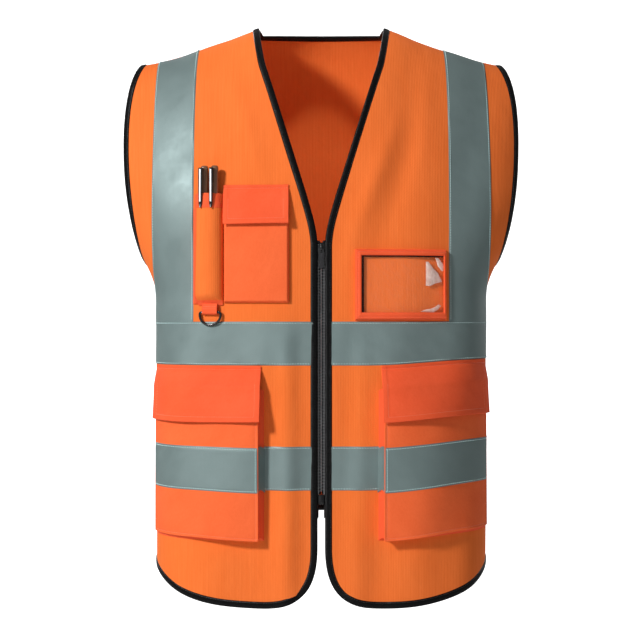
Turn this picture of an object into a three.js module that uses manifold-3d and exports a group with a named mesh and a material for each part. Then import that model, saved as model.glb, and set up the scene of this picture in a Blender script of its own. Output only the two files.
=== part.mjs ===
// A sleeveless high-visibility work vest, standing as if worn: a back, two zipped fronts, bound edges,
// reflective tape, a pen pocket, a phone pocket, a card window, two bellows pockets and a D-ring.
// Millimetres, +Z up, the wearer faces -Y, so the wearer's right is -X.
// Every cloth piece is cut from the same body form: a layer of that form, trimmed by a flat outline.
import * as THREE from "three";
import { mergeVertices } from "three/addons/utils/BufferGeometryUtils.js";
import Module from "manifold-3d";

const wasm = await Module();
wasm.setup();

// ---------------------------------------------------------------- driving dimensions
// Body form
const CHEST_HALF_WIDTH = 262; // of the form at the armholes, which cut most of it away
const WAIST_HALF_WIDTH = 198;
const CHEST_SQUARENESS = 2.4; // exponents of the form's rounded cross-section
const WAIST_SQUARENESS = 3.1;
const CHEST_ENDS = 130; // below the shoulder ridge, where the form starts to narrow
const WAIST_STARTS = 290;
const FRONT_DEPTH = 125;
const BACK_DEPTH = 113;
const LUMBAR_HOLLOW = 14; // how far the back draws in at the waist
const FRONT_ROUNDING = 240; // height over which the form curves from the ridge to its full depth
const BACK_ROUNDING = 160;
const SHOULDER_TIP_X = 221;
const SHOULDER_TIP_Z = -49;
const NECK_RISE = 82; // of the ridge from the shoulder tip to the middle of the neck
const NECK_CURVE = 1.4;
const RIDGE_SOFTENING = 40; // half width over which the ridge is rounded in the middle
const FORM_COLUMNS = 20;

// Cut lines, from the nape: x is half a width, z is a height
const NECK_HALF_WIDTH = 75;
const NECK_POINT_Z = -7;
const V_KNEE = { x: 65.4, z: -58 };
const V_STRAIGHT_END = { x: 17.6, z: -211 };
const V_BOTTOM_Z = -275;
const EDGE_HALF_GAP = 4.4; // from the centre line to the free edge of a front
const CORNER_START_Z = -618;
const HEM_LOW = { x: 69, z: -689 };
const SIDE_HEM_Z = -648;
const BACK_HEM_Z = -604;
const UNDERARM_Z = -304;
const ARMHOLE_BULGE_X = 234;
const BACK_ARMHOLE_BULGE_X = 227;
const BULGE_Z = -150;

// Cloth and trim
const CLOTH = 1.2;
const LAYER_GAP = 0.3;
const SEAM_GAP = 0.3;
const BINDING_WIDTH = 8;
const BINDING_UNDER = 1.0; // how far the binding stands in from the cloth's inner face
const BINDING_OVER = 1.0; // and out from its outer face
const TAPE_WIDTH = 50;
const TAPE_THICKNESS = 0.6;
const UPPER_BAND_TOP = -359;
const LOWER_BAND_TOP = -502;
const BRACE_INNER_X = 147.5; // the vertical tapes over the shoulders

// Bellows pockets
const BELLOWS_INNER_X = 71;
const BELLOWS_OUTER_Y = -58;
const BELLOWS_TOP = -438;
const BELLOWS_BOTTOM = -606;
const BELLOWS_DEPTH = 15;
const BELLOWS_SIDE_DEPTH = 5.5;
const BELLOWS_MOUTH_DEPTH = 10; // at its inner side
const BELLOWS_FLAP_TOP = -411;
const BELLOWS_FLAP_BOTTOM = -473;
const FLAP_OVERHANG = 2; // past the pocket on each side
const FLAP_CLIMB = 12; // height over which a flap climbs from the cloth to the pocket's face
const FLAP_FLARE = 1.5;
const FLAP_SWING_GAP = 0.9; // between a flap's root and the cloth behind it
const GUSSET = 1.5;

// Chest, wearer's right
const PHONE = { inner: -37, outer: -111, top: -216, bottom: -337, depth: 9 };
const PHONE_FLAP_TOP = -203;
const PHONE_FLAP_BOTTOM = -247;
const PEN_RADIUS = 4.5;
const PEN_POCKET = { inner: -112.5, outer: -145, top: -216.6, bottom: -338, depth: 2 * PEN_RADIUS + 4.5 };
const PEN_LENGTH = 138;
const PEN_TOP = -180;
const PEN_SPACE = 2.8; // between the two pens
const PEN_PAIR_X = -126.7;
const PEN_REACH = PEN_RADIUS + PEN_SPACE / 2;
const PEN_X = [PEN_PAIR_X - PEN_REACH, PEN_PAIR_X + PEN_REACH];
const PEN_LIFT = PEN_RADIUS + 2.9; // from the form to a pen's middle line
const CLIP = { length: 46, width: 3.2, thickness: 1.0, side: 1.2, drop: 3 };
const HOOK_LOOP = { width: 25, height: 16, thickness: 0.8 };
const D_RING = { width: 28, wire: 2.6, bow: 14.5, x: -126.5, bar: -348 };
const TAB = { width: 18, thickness: 0.9, top: -339.5 };

// Chest, wearer's left
const CARD = { inner: 38.6, outer: 143.2, top: -276, bottom: -357.5, depth: 5 };
const CARD_BORDER = { top: 7, bottom: 9, inner: 7, outer: 4 };
const WINDOW_THICKNESS = 0.6;
const WINDOW_LAP = 2;

// Zip
const CHAIN_TOP = -277;
const TOOTH_PITCH = 3.5;
const TEETH = 80;
const TOOTH_HEIGHT = 1.45;
const TOOTH_REACH = 1.0; // past the centre line
const TOOTH_ROOT_X = 2.4;
const SPINE_X = 3.4;
const CHAIN_THICKNESS = 3;
const CHAIN_LIFT = -1.8; // centre of the zip's thickness, behind the cloth's inner face
const ZIP_TAPE = { width: 11, thickness: 0.8, top: -266, tail: 27 }; // the tail is below the chain
const SLIDER = { halfWidth: 4.1, length: 11, top: -269, plate: 1.2, flange: 0.5, flangeReach: 1.0 };
const PULL = { length: 22, width: 6, thickness: 1.2 };
const STOP_HEIGHT = 2.5;
const BOX_HEIGHT = 11;

// ---------------------------------------------------------------- body form
const clamp01 = (v) => Math.min(1, Math.max(0, v));
const smooth = (v) => v * v * (3 - 2 * v);
const mix = (a, b, share) => a + (b - a) * share;

// Height of the shoulder ridge above a half width. Inside the neck it rises on, as a neck would.
function ridgeAt(x) {
  const away = Math.sqrt(x * x + RIDGE_SOFTENING * RIDGE_SOFTENING) - RIDGE_SOFTENING / 3;
  return SHOULDER_TIP_Z + NECK_RISE * Math.pow(Math.max(0, 1 - away / SHOULDER_TIP_X), NECK_CURVE);
}

// 0 at the waist and 1 at the chest, for a distance below the ridge.
const chestShare = (drop) =>
  smooth(clamp01((WAIST_STARTS - drop) / (WAIST_STARTS - CHEST_ENDS)));
const halfWidthAt = (drop) => mix(WAIST_HALF_WIDTH, CHEST_HALF_WIDTH, chestShare(drop));
const squarenessAt = (drop) => mix(WAIST_SQUARENESS, CHEST_SQUARENESS, chestShare(drop));

// Depth of the form for a share of its half width, in front (side -1) or behind (side 1).
function depthAt(side, share, drop) {
  const n = squarenessAt(drop);
  const section = Math.pow(Math.max(0, 1 - Math.pow(Math.abs(share), n)), 1 / n);
  const rounding = side < 0 ? FRONT_ROUNDING : BACK_ROUNDING;
  const rise = Math.sqrt(1 - Math.pow(1 - clamp01(drop / rounding), 2));
  const hollow = LUMBAR_HOLLOW * Math.exp(-Math.pow((drop - 400) / 130, 2));
  const full = side < 0 ? FRONT_DEPTH : BACK_DEPTH - hollow;
  return side * full * rise * section;
}

// Rows of the form. From 0 to 1 a row is a share of the way from the ridge down to LEVEL_FROM;
// below that, where every row is level, it is a height.
const LEVEL_FROM = -150;
const ROWS = [
  0,
  0.04,
  0.14,
  0.28,
  0.49,
  0.73,
  LEVEL_FROM,
  -176,
  PHONE_FLAP_TOP,
  PHONE_FLAP_TOP - FLAP_CLIMB / 2,
  PHONE_FLAP_TOP - FLAP_CLIMB,
  PHONE_FLAP_BOTTOM,
  -275,
  -310,
  -350,
  BELLOWS_FLAP_TOP,
  BELLOWS_FLAP_TOP - FLAP_CLIMB / 2,
  BELLOWS_FLAP_TOP - FLAP_CLIMB,
  BELLOWS_FLAP_BOTTOM,
  -540,
  -720,
];
const heightAt = (row, x) => (row >= 0 ? mix(ridgeAt(x), LEVEL_FROM, row) : row);

// A point of the form from its column (-1 to 1, side seam to side seam) and its row.
function formPoint(side, column, row) {
  const share = Math.sin((column * Math.PI) / 2);
  let x = WAIST_HALF_WIDTH * share;
  for (let i = 0; i < 12; i++) {
    x = halfWidthAt(ridgeAt(x) - heightAt(row, x)) * share;
  }
  const z = heightAt(row, x);
  return new THREE.Vector3(x, depthAt(side, share, ridgeAt(x) - z), z);
}

function formNormal(side, column, row) {
  const across = 0.002;
  const down = row >= 0 ? 0.004 : -0.5;
  const left = formPoint(side, Math.max(-1, column - across), row);
  const right = formPoint(side, Math.min(1, column + across), row);
  const upper = formPoint(side, column, row === 0 ? row : row - down);
  const lower = formPoint(side, column, row + down);
  right.sub(left);
  lower.sub(upper);
  return (side < 0 ? lower.cross(right) : right.cross(lower)).normalize();
}

// The form's y at a place of the front elevation.
function frontY(x, z) {
  const drop = ridgeAt(x) - z;
  return depthAt(-1, Math.min(1, Math.abs(x) / halfWidthAt(drop)), drop);
}

// A place standing off the front of the form, and the way the form faces there, seen from above.
function standing(x, z, out) {
  const step = 0.5;
  const slopeX = (frontY(x + step, z) - frontY(x - step, z)) / (2 * step);
  const slopeZ = (frontY(x, z + step) - frontY(x, z - step)) / (2 * step);
  const normal = new THREE.Vector3(slopeX, -1, slopeZ).normalize();
  const point = new THREE.Vector3(x, frontY(x, z), z).addScaledVector(normal, out);
  return { point, heading: Math.atan(slopeX) };
}

// ---------------------------------------------------------------- solids
function toSolid(geometry) {
  const bare = geometry.clone();
  bare.deleteAttribute("normal");
  bare.deleteAttribute("uv");
  const merged = mergeVertices(bare, 1e-4);
  return new wasm.Manifold(
    new wasm.Mesh({
      numProp: 3,
      vertProperties: merged.attributes.position.array,
      triVerts: new Uint32Array(merged.index.array),
    }),
  );
}

function toGeometry(solid) {
  const mesh = solid.getMesh();
  const positions = new Float32Array(mesh.numVert * 3);
  for (let i = 0; i < mesh.numVert; i++) {
    positions.set(mesh.vertProperties.subarray(i * mesh.numProp, i * mesh.numProp + 3), i * 3);
  }
  return new THREE.BufferGeometry()
    .setAttribute("position", new THREE.BufferAttribute(positions, 3))
    .setIndex(new THREE.BufferAttribute(mesh.triVerts, 1));
}

const CORE_DEPTH = 30; // how far a raised half runs past the side seams

// The front or back half of the form, raised by a lift(x, z) and carried past the side seams.
function raised(side, lift) {
  const liftAt = typeof lift === "number" ? () => lift : lift;
  const geometry = new THREE.BoxGeometry(2, 1, 1, FORM_COLUMNS, ROWS.length - 1, 1);
  const position = geometry.attributes.position;
  for (let i = 0; i < position.count; i++) {
    const column = position.getX(i);
    const row = ROWS[Math.round((0.5 - position.getY(i)) * (ROWS.length - 1))];
    const isOuter = position.getZ(i) * side < 0;
    const point = formPoint(side, column, row);
    point.addScaledVector(formNormal(side, column, row), liftAt(point.x, point.z));
    position.setXYZ(i, point.x, isOuter ? point.y : -side * CORE_DEPTH, point.z);
  }
  return toSolid(geometry);
}

// A layer of the form between two lifts.
const layer = (side, inner, outer) => raised(side, outer).subtract(raised(side, inner));

// An outline of the elevation, run through the front (side -1) or the back (side 1), short of the seams.
function prism(side, shape) {
  const reach = 400;
  const geometry = new THREE.ExtrudeGeometry(shape, {
    depth: reach,
    bevelEnabled: false,
    curveSegments: 6,
  });
  geometry.rotateX(Math.PI / 2);
  geometry.translate(0, side < 0 ? -SEAM_GAP / 2 : reach + SEAM_GAP / 2, 0);
  return toSolid(geometry);
}

const shapeOf = (points) => new THREE.Shape(points.map((p) => new THREE.Vector2(p.x, p.y)));

function rectangle(x0, x1, z0, z1) {
  return shapeOf([
    { x: Math.min(x0, x1), y: Math.min(z0, z1) },
    { x: Math.max(x0, x1), y: Math.min(z0, z1) },
    { x: Math.max(x0, x1), y: Math.max(z0, z1) },
    { x: Math.min(x0, x1), y: Math.max(z0, z1) },
  ]);
}

function block(x0, x1, y0, y1, z0, z1) {
  const geometry = new THREE.BoxGeometry(Math.abs(x1 - x0), Math.abs(y1 - y0), Math.abs(z1 - z0));
  geometry.translate((x0 + x1) / 2, (y0 + y1) / 2, (z0 + z1) / 2);
  return toSolid(geometry);
}

// ---------------------------------------------------------------- cut lines
const flip = (points, hand) => points.map((p) => new THREE.Vector2(p.x * hand, p.y));

// A cut line moved sideways over the form: to its left as it runs, or to its right for a negative width.
// The width is measured on the form, so it looks narrow where the form turns away.
function inset(points, width, side = -1) {
  const onForm = (x, z) => {
    const drop = ridgeAt(x) - z;
    const share = Math.min(1, Math.abs(x) / halfWidthAt(drop));
    return new THREE.Vector3(x, depthAt(side, share, Math.max(0, drop)), z);
  };
  return points.map((point, i) => {
    const before = points[Math.max(0, i - 1)];
    const after = points[Math.min(points.length - 1, i + 1)];
    const along = after.clone().sub(before).normalize();
    const out = new THREE.Vector2(-along.y, along.x).multiplyScalar(Math.sign(width));
    const start = onForm(point.x, point.y);
    let near = 0;
    let far = Math.abs(width);
    for (let step = 0; step < 24; step++) {
      const half = (near + far) / 2;
      const reached = onForm(point.x + out.x * half, point.y + out.y * half).distanceTo(start);
      if (reached < Math.abs(width)) near = half;
      else far = half;
    }
    return point.clone().addScaledVector(out, far);
  });
}

function bezier(a, b, c, d, pieces) {
  const [p, q, r, s] = [a, b, c, d].map(([x, z]) => new THREE.Vector2(x, z));
  return new THREE.CubicBezierCurve(p, q, r, s).getPoints(pieces);
}

const OUTSIDE = 290; // past every edge of the form
const ABOVE = 60;

// Free edge of the wearer's left front: neck point, V, zip, round corner, hem, side.
const FRONT_EDGE = [
  new THREE.Vector2(NECK_HALF_WIDTH + 7, NECK_POINT_Z + 38),
  ...bezier(
    [NECK_HALF_WIDTH, NECK_POINT_Z],
    [NECK_HALF_WIDTH - 3, NECK_POINT_Z - 17],
    [V_KNEE.x + 3, V_KNEE.z + 12],
    [V_KNEE.x, V_KNEE.z],
    2,
  ),
  ...bezier(
    [V_STRAIGHT_END.x, V_STRAIGHT_END.z],
    [EDGE_HALF_GAP + 5, V_BOTTOM_Z + 36],
    [EDGE_HALF_GAP, V_BOTTOM_Z + 20],
    [EDGE_HALF_GAP, V_BOTTOM_Z],
    4,
  ),
  ...bezier(
    [EDGE_HALF_GAP, CORNER_START_Z],
    [EDGE_HALF_GAP, CORNER_START_Z - 47],
    [HEM_LOW.x - 47, HEM_LOW.z],
    [HEM_LOW.x, HEM_LOW.z],
    7,
  ),
  ...bezier(
    [HEM_LOW.x, HEM_LOW.z],
    [HEM_LOW.x + 56, HEM_LOW.z],
    [WAIST_HALF_WIDTH - 21, HEM_LOW.z + 9],
    [WAIST_HALF_WIDTH, SIDE_HEM_Z],
    7,
  ).slice(1),
  new THREE.Vector2(WAIST_HALF_WIDTH + 20, SIDE_HEM_Z + 4),
];

function armholeEdge(bulge) {
  return [
    new THREE.Vector2(SHOULDER_TIP_X - 8, SHOULDER_TIP_Z + 16),
    ...bezier(
      [SHOULDER_TIP_X, SHOULDER_TIP_Z],
      [mix(SHOULDER_TIP_X, bulge, 0.9), SHOULDER_TIP_Z - 25],
      [bulge + 1, BULGE_Z + 35],
      [bulge, BULGE_Z],
      3,
    ),
    ...bezier(
      [bulge, BULGE_Z],
      [bulge - 1, BULGE_Z - 50],
      [bulge - 8, UNDERARM_Z + 49],
      [WAIST_HALF_WIDTH + 10, UNDERARM_Z],
      5,
    ).slice(1),
    new THREE.Vector2(WAIST_HALF_WIDTH + 20, UNDERARM_Z - 5),
  ];
}
const FRONT_ARMHOLE = armholeEdge(ARMHOLE_BULGE_X);
const BACK_ARMHOLE = armholeEdge(BACK_ARMHOLE_BULGE_X);

const BACK_NECK_HALF = [
  new THREE.Vector2(0, 0),
  ...bezier([20, 0], [40, -1], [60, -4], [NECK_HALF_WIDTH, NECK_POINT_Z], 2),
  new THREE.Vector2(NECK_HALF_WIDTH + 9, NECK_POINT_Z + 7),
];
const BACK_HEM_HALF = [
  ...bezier([0, BACK_HEM_Z], [90, BACK_HEM_Z], [120, SIDE_HEM_Z], [WAIST_HALF_WIDTH, SIDE_HEM_Z], 6),
  new THREE.Vector2(WAIST_HALF_WIDTH + 20, SIDE_HEM_Z),
];
const bothSides = (half) => [...flip(half.slice(1), -1).reverse(), ...half];

// A strip between a cut line and the same line moved in by a width.
function ribbon(points, width, hand, side = -1) {
  return shapeOf(flip([...points, ...inset(points, width, side).reverse()], hand));
}

// ---------------------------------------------------------------- materials
const material = (color, roughness, metalness = 0) =>
  new THREE.MeshStandardMaterial({ color, roughness, metalness });
const ORANGE_KNIT = material(0xf57a38, 0.85);
const RED_ORANGE_CLOTH = material(0xfb6437, 0.75);
const SILVER_TAPE = material(0x7f9593, 0.45, 0.3);
const BLACK_BINDING = material(0x0c0c0d, 0.5);
const BLACK_PLASTIC = material(0x141415, 0.35);
const ZIP_CLOTH = material(0x0a0a0b, 0.8);
const BLACK_METAL = material(0x1b1c1e, 0.3, 0.8);
const CLEAR_FILM = material(0xf3d9c8, 0.08);
const HOOK_CLOTH = material(0xe8612f, 0.95);
const CHROME = material(0xc9ccd0, 0.15, 1);

const vest = new THREE.Group();
function add(name, solid, finish) {
  const mesh = new THREE.Mesh(toGeometry(solid), finish);
  mesh.name = name;
  vest.add(mesh);
  return solid;
}
const HANDS = { right: -1, left: 1 };
const EACH_HAND = Object.entries(HANDS);

// ---------------------------------------------------------------- panels
const FRONT_CLOTH = layer(-1, 0, CLOTH);
const BACK_CLOTH = layer(1, 0, CLOTH);
const PANEL_INSET = BINDING_WIDTH + SEAM_GAP;
const SEAM_CLEAR = 3; // of a binding's end, where a panel's outline leaves the form at the side seam

for (const [name, hand] of EACH_HAND) {
  const outline = [
    ...inset(FRONT_EDGE, PANEL_INSET),
    new THREE.Vector2(OUTSIDE, SIDE_HEM_Z + PANEL_INSET + SEAM_CLEAR),
    new THREE.Vector2(OUTSIDE, UNDERARM_Z - PANEL_INSET - SEAM_CLEAR),
    ...inset(FRONT_ARMHOLE, -PANEL_INSET).reverse(),
    new THREE.Vector2(SHOULDER_TIP_X - PANEL_INSET - 8, ABOVE),
    new THREE.Vector2(NECK_HALF_WIDTH + PANEL_INSET + 14, ABOVE),
  ];
  add(`front_panel_${name}`, FRONT_CLOTH.intersect(prism(-1, shapeOf(flip(outline, hand)))), ORANGE_KNIT);
}

const BACK_HALF_OUTLINE = [
  ...inset(BACK_HEM_HALF, PANEL_INSET, 1).slice(1),
  new THREE.Vector2(OUTSIDE, SIDE_HEM_Z + PANEL_INSET),
  new THREE.Vector2(OUTSIDE, UNDERARM_Z - PANEL_INSET - SEAM_CLEAR),
  ...inset(BACK_ARMHOLE, -PANEL_INSET, 1).reverse(),
  new THREE.Vector2(SHOULDER_TIP_X - PANEL_INSET - 8, ABOVE),
  new THREE.Vector2(NECK_HALF_WIDTH + PANEL_INSET + 14, ABOVE),
  ...inset(BACK_NECK_HALF, -PANEL_INSET, 1).reverse().slice(0, -1),
];
const BACK_OUTLINE = [
  new THREE.Vector2(0, BACK_HEM_Z + PANEL_INSET),
  ...BACK_HALF_OUTLINE,
  new THREE.Vector2(0, -PANEL_INSET),
  ...flip(BACK_HALF_OUTLINE, -1).reverse(),
];
add("back_panel", BACK_CLOTH.intersect(prism(1, shapeOf(BACK_OUTLINE))), ORANGE_KNIT);

// ---------------------------------------------------------------- bindings
const FRONT_BINDING = layer(-1, -BINDING_UNDER, CLOTH + BINDING_OVER);
const BACK_BINDING = layer(1, -BINDING_UNDER, CLOTH + BINDING_OVER);

for (const [name, hand] of EACH_HAND) {
  const edge = prism(-1, ribbon(FRONT_EDGE, BINDING_WIDTH, hand));
  const arm = prism(-1, ribbon(FRONT_ARMHOLE, -BINDING_WIDTH, hand));
  const backArm = prism(1, ribbon(BACK_ARMHOLE, -BINDING_WIDTH, hand, 1));
  add(`front_edge_binding_${name}`, FRONT_BINDING.intersect(edge), BLACK_BINDING);
  add(`armhole_binding_front_${name}`, FRONT_BINDING.intersect(arm), BLACK_BINDING);
  add(`armhole_binding_back_${name}`, BACK_BINDING.intersect(backArm), BLACK_BINDING);
}
const neckRibbon = prism(1, ribbon(bothSides(BACK_NECK_HALF), -BINDING_WIDTH, 1, 1));
const hemRibbon = prism(1, ribbon(bothSides(BACK_HEM_HALF), BINDING_WIDTH, 1, 1));
add("neck_binding_back", BACK_BINDING.intersect(neckRibbon), BLACK_BINDING);
add("hem_binding_back", BACK_BINDING.intersect(hemRibbon), BLACK_BINDING);

// ---------------------------------------------------------------- reflective tape
const TAPE_LIFT = CLOTH + LAYER_GAP;
const TAPE_OUTSIDE = TAPE_LIFT + TAPE_THICKNESS;
const FRONT_TAPE = layer(-1, TAPE_LIFT, TAPE_OUTSIDE);
const BACK_TAPE = layer(1, TAPE_LIFT, TAPE_OUTSIDE);
const TAPE_START_X = EDGE_HALF_GAP + PANEL_INSET + 0.2;
const BRACE_OUTER_X = BRACE_INNER_X + TAPE_WIDTH;
const BRACE_BOTTOM = UPPER_BAND_TOP + LAYER_GAP;

for (const [name, hand] of EACH_HAND) {
  for (const [height, top] of [["upper", UPPER_BAND_TOP], ["lower", LOWER_BAND_TOP]]) {
    const outline = rectangle(hand * TAPE_START_X, hand * OUTSIDE, top - TAPE_WIDTH, top);
    add(`${height}_tape_front_${name}`, FRONT_TAPE.intersect(prism(-1, outline)), SILVER_TAPE);
  }
  const brace = rectangle(hand * BRACE_INNER_X, hand * BRACE_OUTER_X, BRACE_BOTTOM, ABOVE);
  add(`shoulder_tape_front_${name}`, FRONT_TAPE.intersect(prism(-1, brace)), SILVER_TAPE);
  add(`shoulder_tape_back_${name}`, BACK_TAPE.intersect(prism(1, brace)), SILVER_TAPE);
}
for (const [height, top] of [["upper", UPPER_BAND_TOP], ["lower", LOWER_BAND_TOP]]) {
  const outline = rectangle(-OUTSIDE, OUTSIDE, top - TAPE_WIDTH, top);
  add(`${height}_tape_back`, BACK_TAPE.intersect(prism(1, outline)), SILVER_TAPE);
}

// ---------------------------------------------------------------- flaps
// How far a flap's inside stands off the form: it leaves the cloth at its root, climbs over the pocket
// and keeps room there for a hook patch on a loop patch.
const PATCH_ROOM = 2 * (HOOK_LOOP.thickness + LAYER_GAP);
function flapLift(top, bottom, faceLift) {
  return (x, z) => {
    const climb = clamp01((top - z) / FLAP_CLIMB);
    const flare = FLAP_FLARE * clamp01((top - z) / (top - bottom));
    const room = PATCH_ROOM + flare;
    return mix(CLOTH + FLAP_SWING_GAP, faceLift(x, z) + CLOTH + LAYER_GAP + room, climb);
  };
}
const plus = (lift, more) => (x, z) => lift(x, z) + more;

// A small patch of hook or loop tape between two lifts.
function patch(inner, outer, x, z) {
  const cut = rectangle(
    x - HOOK_LOOP.width / 2,
    x + HOOK_LOOP.width / 2,
    z - HOOK_LOOP.height / 2,
    z + HOOK_LOOP.height / 2,
  );
  return layer(-1, inner, outer).intersect(prism(-1, cut));
}
const loopPatch = (faceLift, x, z) =>
  patch(plus(faceLift, TAPE_LIFT), plus(faceLift, TAPE_LIFT + HOOK_LOOP.thickness), x, z);
const hookPatch = (inside, x, z) =>
  patch(plus(inside, -LAYER_GAP - HOOK_LOOP.thickness), plus(inside, -LAYER_GAP), x, z);

// ---------------------------------------------------------------- bellows pockets
// The pocket stands off most at its inner side. It draws in where it turns round the body, and at its mouth.
function bellowsLift(x, z) {
  const aside = smooth(clamp01((Math.abs(x) - BELLOWS_INNER_X) / (WAIST_HALF_WIDTH - BELLOWS_INNER_X)));
  const full = mix(BELLOWS_DEPTH, BELLOWS_SIDE_DEPTH, aside);
  const mouth = clamp01((z - BELLOWS_FLAP_BOTTOM) / (BELLOWS_TOP - BELLOWS_FLAP_BOTTOM));
  return mix(full, mix(BELLOWS_MOUTH_DEPTH, BELLOWS_SIDE_DEPTH, aside), mouth);
}
const GUSSET_LIFT = TAPE_OUTSIDE + LAYER_GAP;
const bellowsReach = (y) => block(-OUTSIDE, OUTSIDE, -OUTSIDE, y, -700, 0);
const bellowsSide = bellowsReach(BELLOWS_OUTER_Y);
const bellowsRoom = bellowsReach(BELLOWS_OUTER_Y - GUSSET);
const bellowsFace = layer(-1, bellowsLift, plus(bellowsLift, CLOTH)).intersect(bellowsSide);
const bellowsTape = layer(
  -1,
  plus(bellowsLift, TAPE_LIFT),
  plus(bellowsLift, TAPE_OUTSIDE),
).intersect(bellowsSide);
const bellowsWall = layer(-1, GUSSET_LIFT, plus(bellowsLift, -LAYER_GAP)).intersect(bellowsSide);
const bellowsFlapLift = flapLift(BELLOWS_FLAP_TOP, BELLOWS_FLAP_BOTTOM, bellowsLift);
const bellowsFlap = layer(-1, bellowsFlapLift, plus(bellowsFlapLift, CLOTH)).intersect(
  bellowsReach(BELLOWS_OUTER_Y + FLAP_OVERHANG),
);
const BELLOWS_PATCH_X = 112;
const BELLOWS_PATCH_Z = BELLOWS_FLAP_BOTTOM + 16;

for (const [name, hand] of EACH_HAND) {
  const face = rectangle(hand * BELLOWS_INNER_X, hand * OUTSIDE, BELLOWS_BOTTOM, BELLOWS_TOP);
  const room = rectangle(
    hand * (BELLOWS_INNER_X + GUSSET),
    hand * OUTSIDE,
    BELLOWS_BOTTOM + GUSSET,
    BELLOWS_TOP + 20,
  );
  const walls = prism(-1, face).subtract(prism(-1, room).intersect(bellowsRoom));
  add(`bellows_gusset_${name}`, bellowsWall.intersect(walls), RED_ORANGE_CLOTH);
  add(`bellows_face_${name}`, bellowsFace.intersect(prism(-1, face)), RED_ORANGE_CLOTH);
  const strip = rectangle(
    hand * BELLOWS_INNER_X,
    hand * OUTSIDE,
    LOWER_BAND_TOP - TAPE_WIDTH,
    LOWER_BAND_TOP,
  );
  add(`bellows_tape_${name}`, bellowsTape.intersect(prism(-1, strip)), SILVER_TAPE);
  const flap = rectangle(
    hand * (BELLOWS_INNER_X - FLAP_OVERHANG),
    hand * OUTSIDE,
    BELLOWS_FLAP_BOTTOM,
    BELLOWS_FLAP_TOP,
  );
  add(`bellows_flap_${name}`, bellowsFlap.intersect(prism(-1, flap)), RED_ORANGE_CLOTH);
  const patchX = hand * BELLOWS_PATCH_X;
  const loop = loopPatch(bellowsLift, patchX, BELLOWS_PATCH_Z);
  add(`bellows_loop_patch_${name}`, loop, HOOK_CLOTH);
  const hook = hookPatch(bellowsFlapLift, patchX, BELLOWS_PATCH_Z);
  add(`bellows_hook_patch_${name}`, hook, HOOK_CLOTH);
}

// ---------------------------------------------------------------- phone pocket
// A patch pocket: a face on three walls, open at the top.
function patchPocket({ inner, outer, top, bottom, depth }) {
  const face = rectangle(inner, outer, bottom, top);
  const hand = Math.sign(outer - inner);
  const room = rectangle(inner + hand * GUSSET, outer - hand * GUSSET, bottom + GUSSET, top + 20);
  const walls = layer(-1, TAPE_LIFT, depth + 0.1).intersect(
    prism(-1, face).subtract(prism(-1, room)),
  );
  return layer(-1, depth, depth + CLOTH).intersect(prism(-1, face)).add(walls);
}
add("phone_pocket", patchPocket(PHONE), RED_ORANGE_CLOTH);

const phoneLift = () => PHONE.depth;
const phoneFlapLift = flapLift(PHONE_FLAP_TOP, PHONE_FLAP_BOTTOM, phoneLift);
const phoneFlapCut = rectangle(PHONE.inner + 1, PHONE.outer - 0.6, PHONE_FLAP_BOTTOM, PHONE_FLAP_TOP);
const phoneFlap = layer(-1, phoneFlapLift, plus(phoneFlapLift, CLOTH)).intersect(prism(-1, phoneFlapCut));
add("phone_flap", phoneFlap, RED_ORANGE_CLOTH);
const PHONE_PATCH_X = (PHONE.inner + PHONE.outer) / 2;
const PHONE_PATCH_Z = PHONE_FLAP_BOTTOM + 14;
add("phone_loop_patch", loopPatch(phoneLift, PHONE_PATCH_X, PHONE_PATCH_Z), HOOK_CLOTH);
add("phone_hook_patch", hookPatch(phoneFlapLift, PHONE_PATCH_X, PHONE_PATCH_Z), HOOK_CLOTH);

// ---------------------------------------------------------------- pen pocket and pens
add("pen_pocket", patchPocket(PEN_POCKET), RED_ORANGE_CLOTH);

// Each pen stands along the form, between the cloth and the pocket's face. It is made about its own
// middle line, with -Y outwards and z = 0 at PEN_MIDDLE, and then put in place.
const PEN_MIDDLE = (PEN_POCKET.top + PEN_POCKET.bottom) / 2;
const penTop = PEN_TOP - PEN_MIDDLE;
function inPlace(geometry, x) {
  const reach = 50;
  const upper = standing(x, PEN_MIDDLE + reach, PEN_LIFT);
  const lower = standing(x, PEN_MIDDLE - reach, PEN_LIFT);
  const along = upper.point.clone().sub(lower.point);
  const middle = upper.point.clone().add(lower.point).divideScalar(2);
  geometry.rotateZ(upper.heading);
  geometry.rotateX(-Math.atan2(along.y, along.z));
  geometry.translate(middle.x, middle.y, middle.z);
  return toSolid(geometry);
}

function penBarrel(x) {
  const profile = [
    [0, 0],
    [1.2, 0],
    [PEN_RADIUS, 14],
    [PEN_RADIUS, PEN_LENGTH - 2],
    [PEN_RADIUS - 1.2, PEN_LENGTH],
    [0, PEN_LENGTH],
  ].map(([r, h]) => new THREE.Vector2(r, h + penTop - PEN_LENGTH));
  return inPlace(new THREE.LatheGeometry(profile, 12).rotateX(Math.PI / 2), x);
}

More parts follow.
